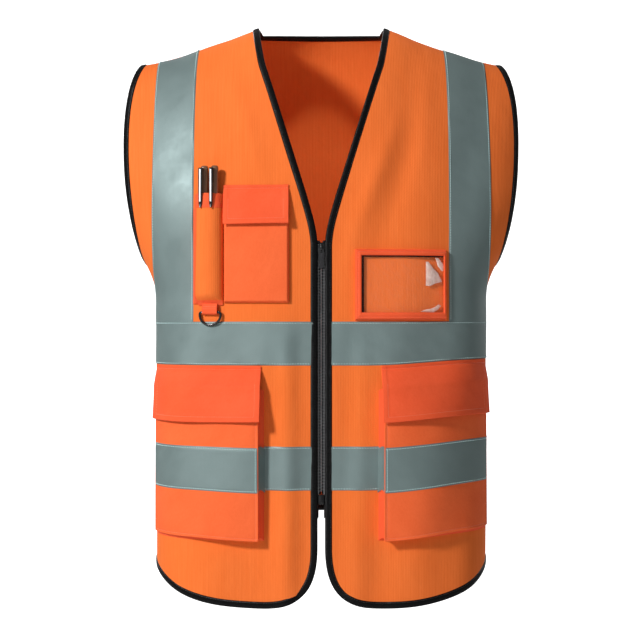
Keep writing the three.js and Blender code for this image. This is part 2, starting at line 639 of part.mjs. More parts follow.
// A flat spring clip outside the pocket's face, with a foot at its top that reaches back to the barrel.
function penClip(x) {
  const back = -(PEN_POCKET.depth + CLOTH - PEN_LIFT) - 0.8;
  const top = penTop - CLIP.drop;
  const foot = -PEN_RADIUS - LAYER_GAP;
  const outline = shapeOf([
    { x: foot, y: top },
    { x: back - CLIP.thickness, y: top },
    { x: back - CLIP.thickness, y: top - CLIP.length },
    { x: back, y: top - CLIP.length },
    { x: back, y: top - 3 },
    { x: foot, y: top - 3 },
  ]);
  const geometry = new THREE.ExtrudeGeometry(outline, { depth: CLIP.width, bevelEnabled: false });
  geometry.rotateX(Math.PI / 2);
  geometry.rotateZ(Math.PI / 2);
  geometry.translate(-CLIP.side - CLIP.width / 2, 0, 0);
  return inPlace(geometry, x);
}
PEN_X.forEach((x, i) => {
  add(`pen_barrel_${i + 1}`, penBarrel(x), BLACK_PLASTIC);
  add(`pen_clip_${i + 1}`, penClip(x), CHROME);
});

// ---------------------------------------------------------------- D-ring and its tab
// Both are made about the ring's straight bar, with -Y outwards, and then put in place.
const RING_RADIUS = D_RING.wire / 2;
const TAB_BORE = RING_RADIUS + LAYER_GAP;
const TAB_WRAP = TAB_BORE + TAB.thickness;
const ringSeat = standing(D_RING.x, D_RING.bar, TAPE_LIFT + TAB_WRAP + 0.2);
function onSeat(geometry) {
  geometry.rotateZ(ringSeat.heading);
  geometry.translate(ringSeat.point.x, ringSeat.point.y, ringSeat.point.z);
  return toSolid(geometry);
}

const BOW_HANDLE = 1.28; // of the bow's curve, in depths of the bow
const RING_PIECES = 36;
function dRing() {
  const half = D_RING.width / 2 - RING_RADIUS;
  const corner = 3;
  const low = -D_RING.bow * BOW_HANDLE;
  const at = (x, z) => new THREE.Vector3(x, 0, z);
  const path = new THREE.CurvePath();
  path.add(new THREE.LineCurve3(at(-half + corner, 0), at(half - corner, 0)));
  path.add(new THREE.QuadraticBezierCurve3(at(half - corner, 0), at(half, 0), at(half, -corner)));
  path.add(
    new THREE.CubicBezierCurve3(at(half, -corner), at(half, low), at(-half, low), at(-half, -corner)),
  );
  path.add(new THREE.QuadraticBezierCurve3(at(-half, -corner), at(-half, 0), at(-half + corner, 0)));
  const loop = new THREE.CatmullRomCurve3(path.getSpacedPoints(RING_PIECES).slice(0, -1), true);
  return onSeat(new THREE.TubeGeometry(loop, RING_PIECES, RING_RADIUS, 8, true));
}

// The tab is a strip folded round the ring's bar, its two ends lying together on the cloth above.
function ringTab() {
  const up = TAB.top - D_RING.bar;
  const outline = new THREE.Shape();
  outline.moveTo(TAB_WRAP, up);
  outline.lineTo(TAB_WRAP, 0);
  outline.absarc(0, 0, TAB_WRAP, 0, Math.PI, true);
  outline.lineTo(-TAB_WRAP, up);
  const hole = new THREE.Path();
  hole.absarc(0, 0, TAB_BORE, 0, Math.PI * 2);
  outline.holes.push(hole);
  const geometry = new THREE.ExtrudeGeometry(outline, {
    depth: TAB.width,
    bevelEnabled: false,
    curveSegments: 8,
  });
  geometry.rotateX(Math.PI / 2);
  geometry.rotateZ(Math.PI / 2);
  geometry.translate(-TAB.width / 2, 0, 0);
  return onSeat(geometry);
}
add("d_ring", dRing(), BLACK_METAL);
add("d_ring_tab", ringTab(), RED_ORANGE_CLOTH);

// ---------------------------------------------------------------- card window
const cardOuter = rectangle(CARD.inner, CARD.outer, CARD.bottom, CARD.top);
const cardRoom = rectangle(
  CARD.inner + GUSSET,
  CARD.outer - GUSSET,
  CARD.bottom + GUSSET,
  CARD.top + 20,
);
const opening = [
  CARD.inner + CARD_BORDER.inner,
  CARD.outer - CARD_BORDER.outer,
  CARD.bottom + CARD_BORDER.bottom,
  CARD.top - CARD_BORDER.top,
];
const FILM_INSIDE = CARD.depth;
const FILM_OUTSIDE = FILM_INSIDE + WINDOW_THICKNESS;
const cardWalls = layer(-1, TAPE_LIFT, FILM_OUTSIDE + LAYER_GAP + 0.1).intersect(
  prism(-1, cardOuter).subtract(prism(-1, cardRoom)),
);
const cardBorder = layer(-1, FILM_OUTSIDE + LAYER_GAP, FILM_OUTSIDE + LAYER_GAP + CLOTH).intersect(
  prism(-1, cardOuter).subtract(prism(-1, rectangle(...opening))),
);
add("card_window_frame", cardBorder.add(cardWalls), RED_ORANGE_CLOTH);
const film = rectangle(
  opening[0] - WINDOW_LAP,
  opening[1] + Math.min(WINDOW_LAP, CARD_BORDER.outer - GUSSET - LAYER_GAP),
  opening[2] - WINDOW_LAP,
  opening[3] + WINDOW_LAP,
);
const filmLayer = layer(-1, FILM_INSIDE, FILM_OUTSIDE);
add("card_window_film", filmLayer.intersect(prism(-1, film)), CLEAR_FILM);

// ---------------------------------------------------------------- zip
// Lift is measured out from the form's front, which is flat across the zip.
const zipY = (lift) => -FRONT_DEPTH - lift;
const CHAIN_FRONT = CHAIN_LIFT + CHAIN_THICKNESS / 2;
const CHAIN_BACK = CHAIN_LIFT - CHAIN_THICKNESS / 2;
const CHAIN_BOTTOM = CHAIN_TOP - TEETH * TOOTH_PITCH;

function zipTape(hand) {
  const start = SPINE_X + LAYER_GAP;
  return block(
    hand * start,
    hand * (start + ZIP_TAPE.width),
    zipY(CHAIN_LIFT - ZIP_TAPE.thickness / 2),
    zipY(CHAIN_LIFT + ZIP_TAPE.thickness / 2),
    CHAIN_BOTTOM - ZIP_TAPE.tail,
    ZIP_TAPE.top,
  );
}

// A row of teeth on a spine. The two rows are half a pitch apart, so their heads lie between each other.
// The right row starts lower: the slider's post has to be past its first tooth's path as the fronts part.
const RIGHT_TEETH_MISSING = 3;
function zipTeeth(hand) {
  const start = CHAIN_TOP - (hand > 0 ? 0 : TOOTH_PITCH / 2);
  const first = hand > 0 ? 0 : RIGHT_TEETH_MISSING;
  const points = [{ x: SPINE_X, y: CHAIN_BOTTOM }, { x: SPINE_X, y: CHAIN_TOP }];
  points.push({ x: TOOTH_ROOT_X, y: CHAIN_TOP });
  for (let i = first; i < TEETH - 1; i++) {
    const top = start - i * TOOTH_PITCH - 0.15;
    points.push({ x: TOOTH_ROOT_X, y: top });
    points.push({ x: -TOOTH_REACH, y: top });
    points.push({ x: -TOOTH_REACH, y: top - TOOTH_HEIGHT });
    points.push({ x: TOOTH_ROOT_X, y: top - TOOTH_HEIGHT });
  }
  points.push({ x: TOOTH_ROOT_X, y: CHAIN_BOTTOM });
  const comb = shapeOf(points.map((p) => ({ x: p.x * hand, y: p.y })));
  const geometry = new THREE.ExtrudeGeometry(comb, { depth: CHAIN_THICKNESS, bevelEnabled: false });
  geometry.rotateX(Math.PI / 2);
  geometry.translate(0, zipY(CHAIN_BACK), 0);
  return toSolid(geometry);
}

const STOP_BOTTOM = SLIDER.top + LAYER_GAP;
function topStop(hand) {
  const y0 = zipY(CHAIN_BACK + 0.3);
  const y1 = zipY(CHAIN_FRONT - 0.3);
  return block(hand * 1.4, hand * SPINE_X, y0, y1, STOP_BOTTOM, STOP_BOTTOM + STOP_HEIGHT);
}

for (const [name, hand] of EACH_HAND) {
  add(`zip_tape_${name}`, zipTape(hand), ZIP_CLOTH);
  add(`zip_teeth_${name}`, zipTeeth(hand), BLACK_PLASTIC);
  add(`zip_top_stop_${name}`, topStop(hand), BLACK_PLASTIC);
}

// The box is fixed to the wearer's left tape; the right tape's pin slides into it from above.
const BOX_TOP = CHAIN_BOTTOM - LAYER_GAP;
const BOX_CLEARANCE = 0.35;
const PIN = { inner: 1.3, outer: SPINE_X };
const insertionPin = block(
  -PIN.outer,
  -PIN.inner,
  zipY(CHAIN_BACK + 0.5),
  zipY(CHAIN_FRONT - 0.5),
  BOX_TOP - BOX_HEIGHT + 2,
  BOX_TOP,
);
add("zip_insertion_pin", insertionPin, BLACK_PLASTIC);
const boxOuter = block(
  -SPINE_X,
  SPINE_X,
  zipY(CHAIN_BACK - 0.9),
  zipY(CHAIN_FRONT + 0.3),
  BOX_TOP - BOX_HEIGHT,
  BOX_TOP,
);
const boxSlot = block(
  -SLIDER.halfWidth - 5,
  -PIN.inner + BOX_CLEARANCE,
  zipY(CHAIN_BACK + 0.5 - BOX_CLEARANCE),
  zipY(CHAIN_FRONT - 0.5 + BOX_CLEARANCE),
  BOX_TOP - BOX_HEIGHT + 2 - BOX_CLEARANCE,
  BOX_TOP + 5,
);
add("zip_retaining_box", boxOuter.subtract(boxSlot), BLACK_PLASTIC);

// The slider: two plates joined by a post. Flanges at its left close round the left tape; the right side
// stays open, so that the right row can leave as the fronts part.
const PLATE_FRONT = CHAIN_FRONT + LAYER_GAP;
const PLATE_BACK = CHAIN_BACK - LAYER_GAP;
const SLIDER_BOTTOM = SLIDER.top - SLIDER.length;
function slider() {
  const { halfWidth, plate, flange, flangeReach, top } = SLIDER;
  const plateAt = (lift) =>
    block(-halfWidth, halfWidth, zipY(lift), zipY(lift + plate), SLIDER_BOTTOM, top);
  const front = plateAt(PLATE_FRONT);
  const back = plateAt(PLATE_BACK - plate);
  const postOuter = -TOOTH_REACH - LAYER_GAP;
  const post = block(
    -TOOTH_ROOT_X + 0.15,
    postOuter,
    zipY(PLATE_BACK - plate / 2),
    zipY(PLATE_FRONT + plate / 2),
    CHAIN_TOP + LAYER_GAP,
    top,
  );
  const lipFront = block(
    halfWidth - flange,
    halfWidth,
    zipY(PLATE_FRONT - flangeReach),
    zipY(PLATE_FRONT + plate / 2),
    SLIDER_BOTTOM,
    top,
  );
  const lipBack = block(
    halfWidth - flange,
    halfWidth,
    zipY(PLATE_BACK + flangeReach),
    zipY(PLATE_BACK - plate / 2),
    SLIDER_BOTTOM,
    top,
  );
  return front.add(back).add(post).add(lipFront).add(lipBack).add(bridge());
}

// A low arch on the slider's face, which carries the pull.
const BRIDGE = { width: 2, height: 2.6, length: 7, thickness: 0.9 };
const BRIDGE_TOP = SLIDER.top - 1.5;
const BRIDGE_BACK = PLATE_FRONT + SLIDER.plate;
function bridge() {
  const bottom = BRIDGE_TOP - BRIDGE.length;
  const outer = block(
    -BRIDGE.width / 2,
    BRIDGE.width / 2,
    zipY(BRIDGE_BACK + BRIDGE.height),
    zipY(BRIDGE_BACK - 0.3),
    bottom,
    BRIDGE_TOP,
  );
  const inner = block(
    -BRIDGE.width,
    BRIDGE.width,
    zipY(BRIDGE_BACK + BRIDGE.height - BRIDGE.thickness),
    zipY(BRIDGE_BACK),
    bottom + BRIDGE.thickness,
    BRIDGE_TOP - BRIDGE.thickness,
  );
  return outer.subtract(inner);
}
add("zip_slider", slider(), BLACK_METAL);

// The pull hangs from the bridge by a cross bar and lies in front of the chain.
const PULL_PIVOT_Z = BRIDGE_TOP - BRIDGE.length + BRIDGE.thickness + 0.9;
const PULL_BAR = 0.55; // half the height of the cross bar
const PULL_WINDOW = 4.5; // from the bar's middle to the far end of the hole below it
const PULL_LIFT = BRIDGE_BACK + (BRIDGE.height - BRIDGE.thickness) / 2;
function pullTab() {
  const half = PULL.width / 2;
  const low = PULL_PIVOT_Z - PULL.length;
  const outline = new THREE.Shape();
  outline.moveTo(-half, PULL_PIVOT_Z + PULL_BAR);
  outline.lineTo(-half + 0.8, low + 3);
  outline.absarc(0, low + half - 0.8, half - 0.8, Math.PI, 2 * Math.PI);
  outline.lineTo(half, PULL_PIVOT_Z + PULL_BAR);
  const window = new THREE.Path();
  const side = BRIDGE.width / 2 + LAYER_GAP;
  window.moveTo(-side, PULL_PIVOT_Z - PULL_BAR);
  window.lineTo(-side, PULL_PIVOT_Z - PULL_WINDOW);
  window.lineTo(side, PULL_PIVOT_Z - PULL_WINDOW);
  window.lineTo(side, PULL_PIVOT_Z - PULL_BAR);
  outline.holes.push(window);
  const geometry = new THREE.ExtrudeGeometry(outline, {
    depth: PULL.thickness,
    bevelEnabled: false,
    curveSegments: 6,
  });
  geometry.rotateX(Math.PI / 2);
  geometry.translate(0, zipY(PULL_LIFT - PULL.thickness / 2), 0);
  return toSolid(geometry);
}
add("zip_pull", pullTab(), BLACK_METAL);

// The origin is the nape: the middle of the back neck edge, where the form is this far behind its middle.
const NAPE_Y = depthAt(1, 0, ridgeAt(0));
vest.position.set(0, -NAPE_Y, 0);

export default vest;
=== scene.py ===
"""A high-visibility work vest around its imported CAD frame.

Lengths in this script are millimetres in the frame's axes, turned to metres as meshes are made. Every
cloth piece lies on one body form, so a place is given by side (-1 front, 1 back), x, z and a lift."""

import math

import bmesh
import bpy
import numpy as np
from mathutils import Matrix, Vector


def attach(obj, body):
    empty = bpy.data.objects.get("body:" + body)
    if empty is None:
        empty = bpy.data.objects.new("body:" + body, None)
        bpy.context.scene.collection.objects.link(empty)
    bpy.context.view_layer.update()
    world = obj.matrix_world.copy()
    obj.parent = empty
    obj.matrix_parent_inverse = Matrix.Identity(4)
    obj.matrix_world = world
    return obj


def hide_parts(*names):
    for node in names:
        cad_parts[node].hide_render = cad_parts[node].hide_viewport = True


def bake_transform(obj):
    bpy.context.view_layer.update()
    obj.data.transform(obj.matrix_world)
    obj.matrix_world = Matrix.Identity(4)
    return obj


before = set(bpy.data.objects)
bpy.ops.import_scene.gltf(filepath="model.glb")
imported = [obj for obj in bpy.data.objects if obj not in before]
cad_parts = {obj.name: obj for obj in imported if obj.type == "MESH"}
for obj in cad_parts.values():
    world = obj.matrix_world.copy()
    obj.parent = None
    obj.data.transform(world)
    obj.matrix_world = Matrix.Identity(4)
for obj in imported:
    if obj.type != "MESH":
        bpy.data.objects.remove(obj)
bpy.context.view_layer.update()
MM = 0.001

# ---------------------------------------------------------------- sizes, as in the CAD
CHEST_HALF_WIDTH, WAIST_HALF_WIDTH = 262.0, 198.0
CHEST_SQUARENESS, WAIST_SQUARENESS = 2.4, 3.1
CHEST_ENDS, WAIST_STARTS = 130.0, 290.0
FRONT_DEPTH, BACK_DEPTH = 125.0, 113.0
LUMBAR_HOLLOW, LUMBAR_DROP, LUMBAR_REACH = 14.0, 400.0, 130.0
ROUNDING = {-1: 240.0, 1: 160.0}
SHOULDER_TIP_X, SHOULDER_TIP_Z = 221.0, -49.0
NECK_RISE, NECK_CURVE, RIDGE_SOFTENING = 82.0, 1.4, 40.0

CLOTH = 1.2
BINDING_WIDTH = 8.0
TAPE_WIDTH = 50.0
TAPE_UNDER, TAPE_OUT = 1.0, 2.0
UPPER_BAND_TOP, LOWER_BAND_TOP = -359.0, -502.0
BRACE_X = (147.5, 197.5)
EDGE_HALF_GAP = 4.4
SIDE_HEM_Z, BACK_HEM_Z = -648.0, -604.0

BELLOWS_X, BELLOWS_END_X = 71.0, 191.9
BELLOWS_Z, PLEAT_DEPTH = (-606.0, -438.0), 3.4
FLAP_Z = (-473.0, -410.0)
PHONE_X, PHONE_Z, PHONE_DEPTH = (-111.0, -37.0), (-337.0, -216.0), 9.0
PHONE_FLAP_Z, PHONE_FLAP_RUN = (-247.0, -202.5), 38.0
PHONE_FACE = PHONE_DEPTH - 3.0
PEN_POCKET_X, PEN_POCKET_Z, PEN_DEPTH = (-145.0, -112.2), (-338.0, -213.5), 13.5
PEN_MOUTH_Z = -216.6
PEN_X, PEN_LIFT, PEN_TOP, PEN_LENGTH, PEN_RADIUS = (-132.6, -120.8), 7.4, -180.0, 138.0, 4.5
CARD_X, CARD_Z = (38.6, 143.2), (-357.5, -276.0)
CARD_INNER = (46.0, 139.4, -348.5, -283.0)
CHAIN_TOP, TOOTH_PITCH, TEETH, CHAIN_LIFT = -277.0, 3.5, 80, -1.8


def clamp01(v):
    return np.clip(v, 0.0, 1.0)


def smooth(v):
    v = clamp01(v)
    return v * v * (3 - 2 * v)


def mix(a, b, share):
    return a + (b - a) * share


def unit(v):
    return v / (np.linalg.norm(v, axis=-1, keepdims=True) + 1e-9)


def lengths(points):
    """Distance run along a line of points, from its start."""
    return np.concatenate([[0], np.cumsum(np.linalg.norm(np.diff(points, axis=0), axis=1))])


# ---------------------------------------------------------------- body form
def ridge(x):
    """Height of the shoulder line above a half width."""
    away = np.sqrt(np.square(x) + RIDGE_SOFTENING**2) - RIDGE_SOFTENING / 3
    return SHOULDER_TIP_Z + NECK_RISE * np.maximum(0, 1 - away / SHOULDER_TIP_X) ** NECK_CURVE


def chest_share(drop):
    return smooth((WAIST_STARTS - drop) / (WAIST_STARTS - CHEST_ENDS))


def half_width(drop):
    return mix(WAIST_HALF_WIDTH, CHEST_HALF_WIDTH, chest_share(drop))


def drop_at(side, turn):
    """How far a turn of the form lies below the shoulder line."""
    return ROUNDING[side] * np.where(turn < math.pi / 2, 1 - np.cos(turn), 1 + turn - math.pi / 2)


def form(side, column, turn):
    """A point of the form. Column runs from -1 to 1 between the side seams, turn from 0 on the shoulder."""
    drop = drop_at(side, turn)
    share = np.sin(column * math.pi / 2)
    x = half_width(drop) * share
    n = mix(WAIST_SQUARENESS, CHEST_SQUARENESS, chest_share(drop))
    section = np.maximum(0, 1 - np.abs(share) ** n) ** (1 / n)
    rise = np.where(turn < math.pi / 2, np.sin(turn), 1.0)
    hollow = LUMBAR_HOLLOW * np.exp(-np.square((drop - LUMBAR_DROP) / LUMBAR_REACH))
    full = FRONT_DEPTH if side < 0 else BACK_DEPTH - hollow
    return np.stack([x, side * full * rise * section, ridge(x) - drop], -1)


NAPE = form(1, np.float64(0), np.arccos(1 - ridge(0) / ROUNDING[1]))
TO_NAPE = np.array([0, NAPE[1], 0])


def on_form(side, x, z):
    """Column and turn of a place in the elevation."""
    drop = np.maximum(0, ridge(x) - z)
    column = np.arcsin(np.clip(x / half_width(drop), -1, 1)) * 2 / math.pi
    share = drop / ROUNDING[side]
    return column, np.where(share < 1, np.arccos(np.clip(1 - share, -1, 1)), math.pi / 2 + share - 1)


def form_normal(side, column, turn):
    h = 2e-3
    across = form(side, np.minimum(1, column + h), turn) - form(side, np.maximum(-1, column - h), turn)
    down = form(side, column, turn + h) - form(side, column, np.maximum(0, turn - h))
    return unit(np.cross(down, across) if side < 0 else np.cross(across, down))


def bump(x, z, x0, z0, wide, tall, lean=0.0):
    """A soft hill of height 1 about a place; lean moves its line sideways with height."""
    return np.exp(-np.square((x - x0 - lean * (z - z0)) / wide) - np.square((z - z0) / tall))


# The folds seen in the hanging cloth: height, x, z, half width, half height, lean.
FRONT_FOLDS = (
    (2.6, -40, -600, 13, 170, 0), (2.4, 44, -620, 14, 150, 0), (1.9, -38, -430, 12, 60, 0),
    (1.6, 46, -440, 13, 60, 0), (1.8, 60, -200, 12, 70, 0.35), (-1.4, 92, -190, 14, 80, 0.3),
    (1.6, -88, -130, 12, 60, -0.3), (1.5, 120, -110, 13, 60, 0.1), (2.0, 168, -640, 22, 60, 0),
    (1.8, -160, -650, 22, 50, 0),
)
BACK_FOLDS = (
    (2.2, -52, -470, 26, 190, 0.06), (2.4, 60, -450, 28, 200, -0.05), (-1.5, 4, -500, 30, 160, 0),
    (2.0, 120, -200, 26, 60, 0.5), (2.0, -120, -200, 26, 60, -0.5), (1.5, 0, -340, 120, 12, 0),
    (-1.2, 20, -372, 120, 12, 0),
)
FOLD_SCALE = 1.5
SEAM_EASE = 0.12
PULL_UP = 6.5


def folds(side, x, z):
    """How far the hanging cloth stands off the form, for every layer sewn to it."""
    hills = sum(height * bump(x, z, *rest) for height, *rest in (FRONT_FOLDS if side < 0 else BACK_FOLDS))
    if side > 0:
        waves = 1.3 * np.sin(x / 24.0 + z / 130.0) * smooth((-200 - z) / 150)
        return (hills + waves) * smooth((-14 - z) / 60)
    waves = 1.1 * np.sin(x / 21.0 + z / 160.0) * smooth((-330 - z) / 90) * smooth((np.abs(x) - 14) / 30)
    waves = waves + 0.5 * np.sin(x / 12.0 - z / 55.0)
    chest_pockets = bump(x, z, -90, -275, 62, 85) ** 0.5
    by_zip = smooth((np.abs(x) - 10) / 24)
    return FOLD_SCALE * (hills + waves) * by_zip * (1 - 0.75 * clamp01(chest_pockets))


def ease(column):
    """The folds die away towards the side seams."""
    return smooth((1 - np.abs(column)) / SEAM_EASE)


def pulled_up(x, z):
    """The wearer's left side is drawn up a little, so what is sewn on there slants."""
    return PULL_UP * smooth((x - 50) / 140) * smooth((-352 - z) / 45) * smooth((z + 655) / 40)


def place(side, x, z, lift=0.0):
    """Points standing off the cloth's form by lift, and the way the form faces there."""
    x, z = np.broadcast_arrays(np.asarray(x, float), np.asarray(z, float))
    z = z + pulled_up(x, z)
    column, turn = on_form(side, x, z)
    normal = form_normal(side, column, turn)
    out = np.asarray(lift) + folds(side, x, z) * ease(column)
    return form(side, column, turn) - TO_NAPE + normal * out[..., None], normal


TABLE_COLUMNS, TABLE_TURNS, LAST_TURN = 120, 260, 5.2


def metric_table(side):
    """Distances over the form, across from the middle and down from the shoulder."""
    columns = np.linspace(0, 1, TABLE_COLUMNS + 1)[:, None]
    turns = np.linspace(0, LAST_TURN, TABLE_TURNS + 1)[None, :]
    grid = form(side, columns, turns)
    across = np.linalg.norm(np.diff(grid[..., :2], axis=0), axis=-1)
    down = np.linalg.norm(np.diff(grid, axis=1), axis=-1)
    return np.pad(np.cumsum(across, 0), ((1, 0), (0, 0))), np.pad(np.cumsum(down, 1), ((0, 0), (1, 0)))


TABLES = {-1: metric_table(-1), 1: metric_table(1)}


def cloth_coords(side, column, turn):
    """Distances over the cloth in millimetres, for its textures."""
    a = clamp01(np.abs(column)) * TABLE_COLUMNS
    b = clamp01(turn / LAST_TURN) * TABLE_TURNS
    i = np.minimum(a.astype(int), TABLE_COLUMNS - 1)
    j = np.minimum(b.astype(int), TABLE_TURNS - 1)
    s, t = a - i, b - j
    found = []
    for table in TABLES[side]:
        top = mix(table[i, j], table[i + 1, j], s)
        low = mix(table[i, j + 1], table[i + 1, j + 1], s)
        found.append(mix(top, low, t))
    return np.stack([found[0] * np.sign(column), -found[1], np.zeros_like(found[0])], -1)


def coords_at(side, x, z):
    x, z = np.broadcast_arrays(np.asarray(x, float), np.asarray(z, float))
    return cloth_coords(side, *on_form(side, x, z))


# ---------------------------------------------------------------- mesh building
RIM = 0.3


def as_mesh(verts, faces, coords=None):
    verts = np.asarray(verts, float).reshape(-1, 3)
    coords = verts if coords is None else np.asarray(coords, float).reshape(-1, 3)
    return verts, [tuple(f) for f in faces], coords


def joined(parts):
    verts, faces, coords, start = [], [], [], 0
    for v, f, c in parts:
        verts.append(v)
        coords.append(c)
        faces += [tuple(i + start for i in face) for face in f]
        start += len(v)
    return np.concatenate(verts), faces, np.concatenate(coords)


def grid_quads(rows, cols, wrap_rows=False, wrap_cols=False):
    index = np.arange(rows * cols).reshape(rows, cols)
    if wrap_rows:
        index = np.concatenate([index, index[:1]], 0)
    if wrap_cols:
        index = np.concatenate([index, index[:, :1]], 1)
    return np.stack([index[:-1, :-1], index[1:, :-1], index[1:, 1:], index[:-1, 1:]], -1).reshape(-1, 4)


def thick(outer, inner, coords=None, wrap_rows=False):
    """A closed sheet between two grids of points, with a rounded rim."""
    rows, cols, _ = outer.shape
    n = rows * cols
    index = np.arange(n).reshape(rows, cols)
    quads = grid_quads(rows, cols, wrap_rows)
    faces = [tuple(q) for q in quads.tolist()] + [tuple(q[::-1]) for q in (quads + n).tolist()]
    if wrap_rows:
        loops = [(index[:, 0], index[:, 1]), (index[::-1, -1], index[::-1, -2])]
    else:
        edge = np.concatenate([index[0, :-1], index[:-1, -1], index[-1, :0:-1], index[:0:-1, 0]])
        within = np.concatenate([index[1, :-1], index[:-1, -2], index[-2, :0:-1], index[:0:-1, 1]])
        loops = [(edge, within)]
    o, i = outer.reshape(-1, 3), inner.reshape(-1, 3)
    verts = [o, i]
    uv = (o if coords is None else coords.reshape(-1, 3))
    uvs, start = [uv, uv], 2 * n
    for edge, within in loops:
        away = unit(o[edge] - o[within])
        gap = np.linalg.norm(o[edge] - i[edge], axis=1, keepdims=True)
        verts.append((o[edge] + i[edge]) / 2 + away * gap * RIM)
        uvs.append(uv[edge])
        m = len(edge)
        for k in range(m):
            l = (k + 1) % m
            a, b = int(edge[k]), int(edge[l])
            faces.append((b, a, start + k, start + l))
            faces.append((start + l, start + k, a + n, b + n))
        start += m
    return as_mesh(np.concatenate(verts), faces, np.concatenate(uvs))


def grid_normals(points, flip=1):
    return unit(np.cross(np.gradient(points, axis=0), np.gradient(points, axis=1)) * flip)


def shell(points, thickness, coords, flip=1):
    """A closed sheet on one grid of points, thickened to one side."""
    return thick(points, points - grid_normals(points, flip) * thickness, coords)


def layer(side, x, z, low, high, coords=None, wrap_rows=False):
    """Cloth between two lifts over a grid of places, with its outer points and the way they face."""
    outer, up = place(side, x, z, high)
    inner, _ = place(side, x, z, low)
    coords = coords_at(side, x, z) if coords is None else coords
    return thick(outer, inner, coords, wrap_rows), outer, up


def tube(centres, u, v, profile, closed=False):
    """A profile of (m, 2) or (n, m, 2) swept along centres, spanned by directions u and v."""
    n = len(centres)
    profile = np.broadcast_to(profile, (n,) + np.shape(profile)[-2:])
    rings = centres[:, None] + u[:, None] * profile[..., :1] + v[:, None] * profile[..., 1:]
    m = rings.shape[1]
    faces = [tuple(q) for q in grid_quads(n, m, closed, True).tolist()]
    verts = rings.reshape(-1, 3)
    along = np.repeat(lengths(centres)[:, None], m, 1)
    coords = np.stack([profile[..., 0], along, profile[..., 1]], -1).reshape(-1, 3)
    if not closed:
        verts = np.concatenate([verts, rings[0].mean(0)[None], rings[-1].mean(0)[None]])
        coords = np.concatenate([coords, coords[:1], coords[-1:]])
        a, b, last = n * m, n * m + 1, (n - 1) * m
        faces += [(a, k, (k + 1) % m) for k in range(m)]
        faces += [(b, last + (k + 1) % m, last + k) for k in range(m)]
    return as_mesh(verts, faces, coords)


def ellipse(a, b, count=12, power=1.0):
    t = np.arange(count) * 2 * math.pi / count
    c, s = np.cos(t), np.sin(t)
    return np.stack([a * np.sign(c) * np.abs(c) ** power, b * np.sign(s) * np.abs(s) ** power], -1)


def bevelled(outline, y0, y1, radius, segments=2):
    """A flat outline of (x, z) points, carried from y0 to y1, with rounded edges."""
    bm = bmesh.new()
    face = bm.faces.new([bm.verts.new((x, y0, z)) for x, z in outline])
    moved = bmesh.ops.extrude_face_region(bm, geom=[face])["geom"]
    far = [item for item in moved if isinstance(item, bmesh.types.BMVert)]
    bmesh.ops.translate(bm, vec=(0, y1 - y0, 0), verts=far)
    bmesh.ops.recalc_face_normals(bm, faces=bm.faces)
    sharp = [e for e in bm.edges if e.calc_face_angle(0) > 0.5]
    bmesh.ops.bevel(bm, geom=sharp, offset=radius, segments=segments, affect="EDGES", profile=0.5)
    bm.verts.index_update()
    verts = [tuple(v.co) for v in bm.verts]
    faces = [tuple(v.index for v in f.verts) for f in bm.faces]
    bm.free()
    return as_mesh(verts, faces)


def slab(x0, x1, y0, y1, z0, z1, radius=0.3, segments=2):
    return bevelled([(x0, z0), (x1, z0), (x1, z1), (x0, z1)], y0, y1, radius, segments)


def moved(part, shift):
    return part[0] + np.asarray(shift), part[1], part[2]


def holed_plate(outer, hole, y0, y1, edge=0.25):
    """A plate with one hole: two outlines of as many (x, z) points each, with bevelled edges."""
    outer, hole = np.asarray(outer, float), np.asarray(hole, float)
    inward = unit(hole - outer)
    d = edge * np.sign(y1 - y0)
    rings = [(hole, y0), (outer + inward * edge, y0), (outer, y0 + d), (outer, y1 - d)]
    rings += [(outer + inward * edge, y1), (hole, y1)]
    grid = np.stack([np.stack([r[:, 0], np.full(len(r), y), r[:, 1]], -1) for r, y in rings], 0)
    quads = grid_quads(grid.shape[0], grid.shape[1], True, True)
    return as_mesh(grid.reshape(-1, 3), quads.tolist())


def in_scene(name, data):
    made = bpy.data.objects.new(name, data)
    bpy.context.scene.collection.objects.link(made)
    return made


def make(name, part, finish, body=None, stands_for=(), bend=None, sharp=40, orient=True):
    """Turns a mesh in millimetres into a piece that rides on a body, or, when given a bend, is kept fixed
    where it was built.
    """
    verts, faces, coords = part
    mesh = bpy.data.meshes.new(name)
    mesh.from_pydata((verts * MM).tolist(), [], faces)
    if orient:
        bm = bmesh.new()
        bm.from_mesh(mesh)
        bmesh.ops.recalc_face_normals(bm, faces=bm.faces)
        bm.to_mesh(mesh)
        bm.free()
    attribute = mesh.attributes.new("cloth", "FLOAT_VECTOR", "POINT")
    attribute.data.foreach_set("vector", coords.astype(np.float32).ravel())
    mesh.polygons.foreach_set("use_smooth", [True] * len(mesh.polygons))
    mesh.set_sharp_from_angle(angle=math.radians(sharp))
    mesh.materials.append(finish)
    piece = in_scene(name, mesh)
    if bend:
        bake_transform(piece)
    else:
        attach(piece, body)
    if stands_for:
        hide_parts(*stands_for)
    return piece


def front_bend(hand):
    """The fronts hang from the back's shoulders and turn with their hinge only below the shoulder; this gives
    the two bodies and two heights of that turn, which make takes only as a sign to keep the piece fixed where
    it was built.
    """
    return ("back", "front_left" if hand > 0 else "front_right", (0, 0, -0.02), (0, 0, -0.2))


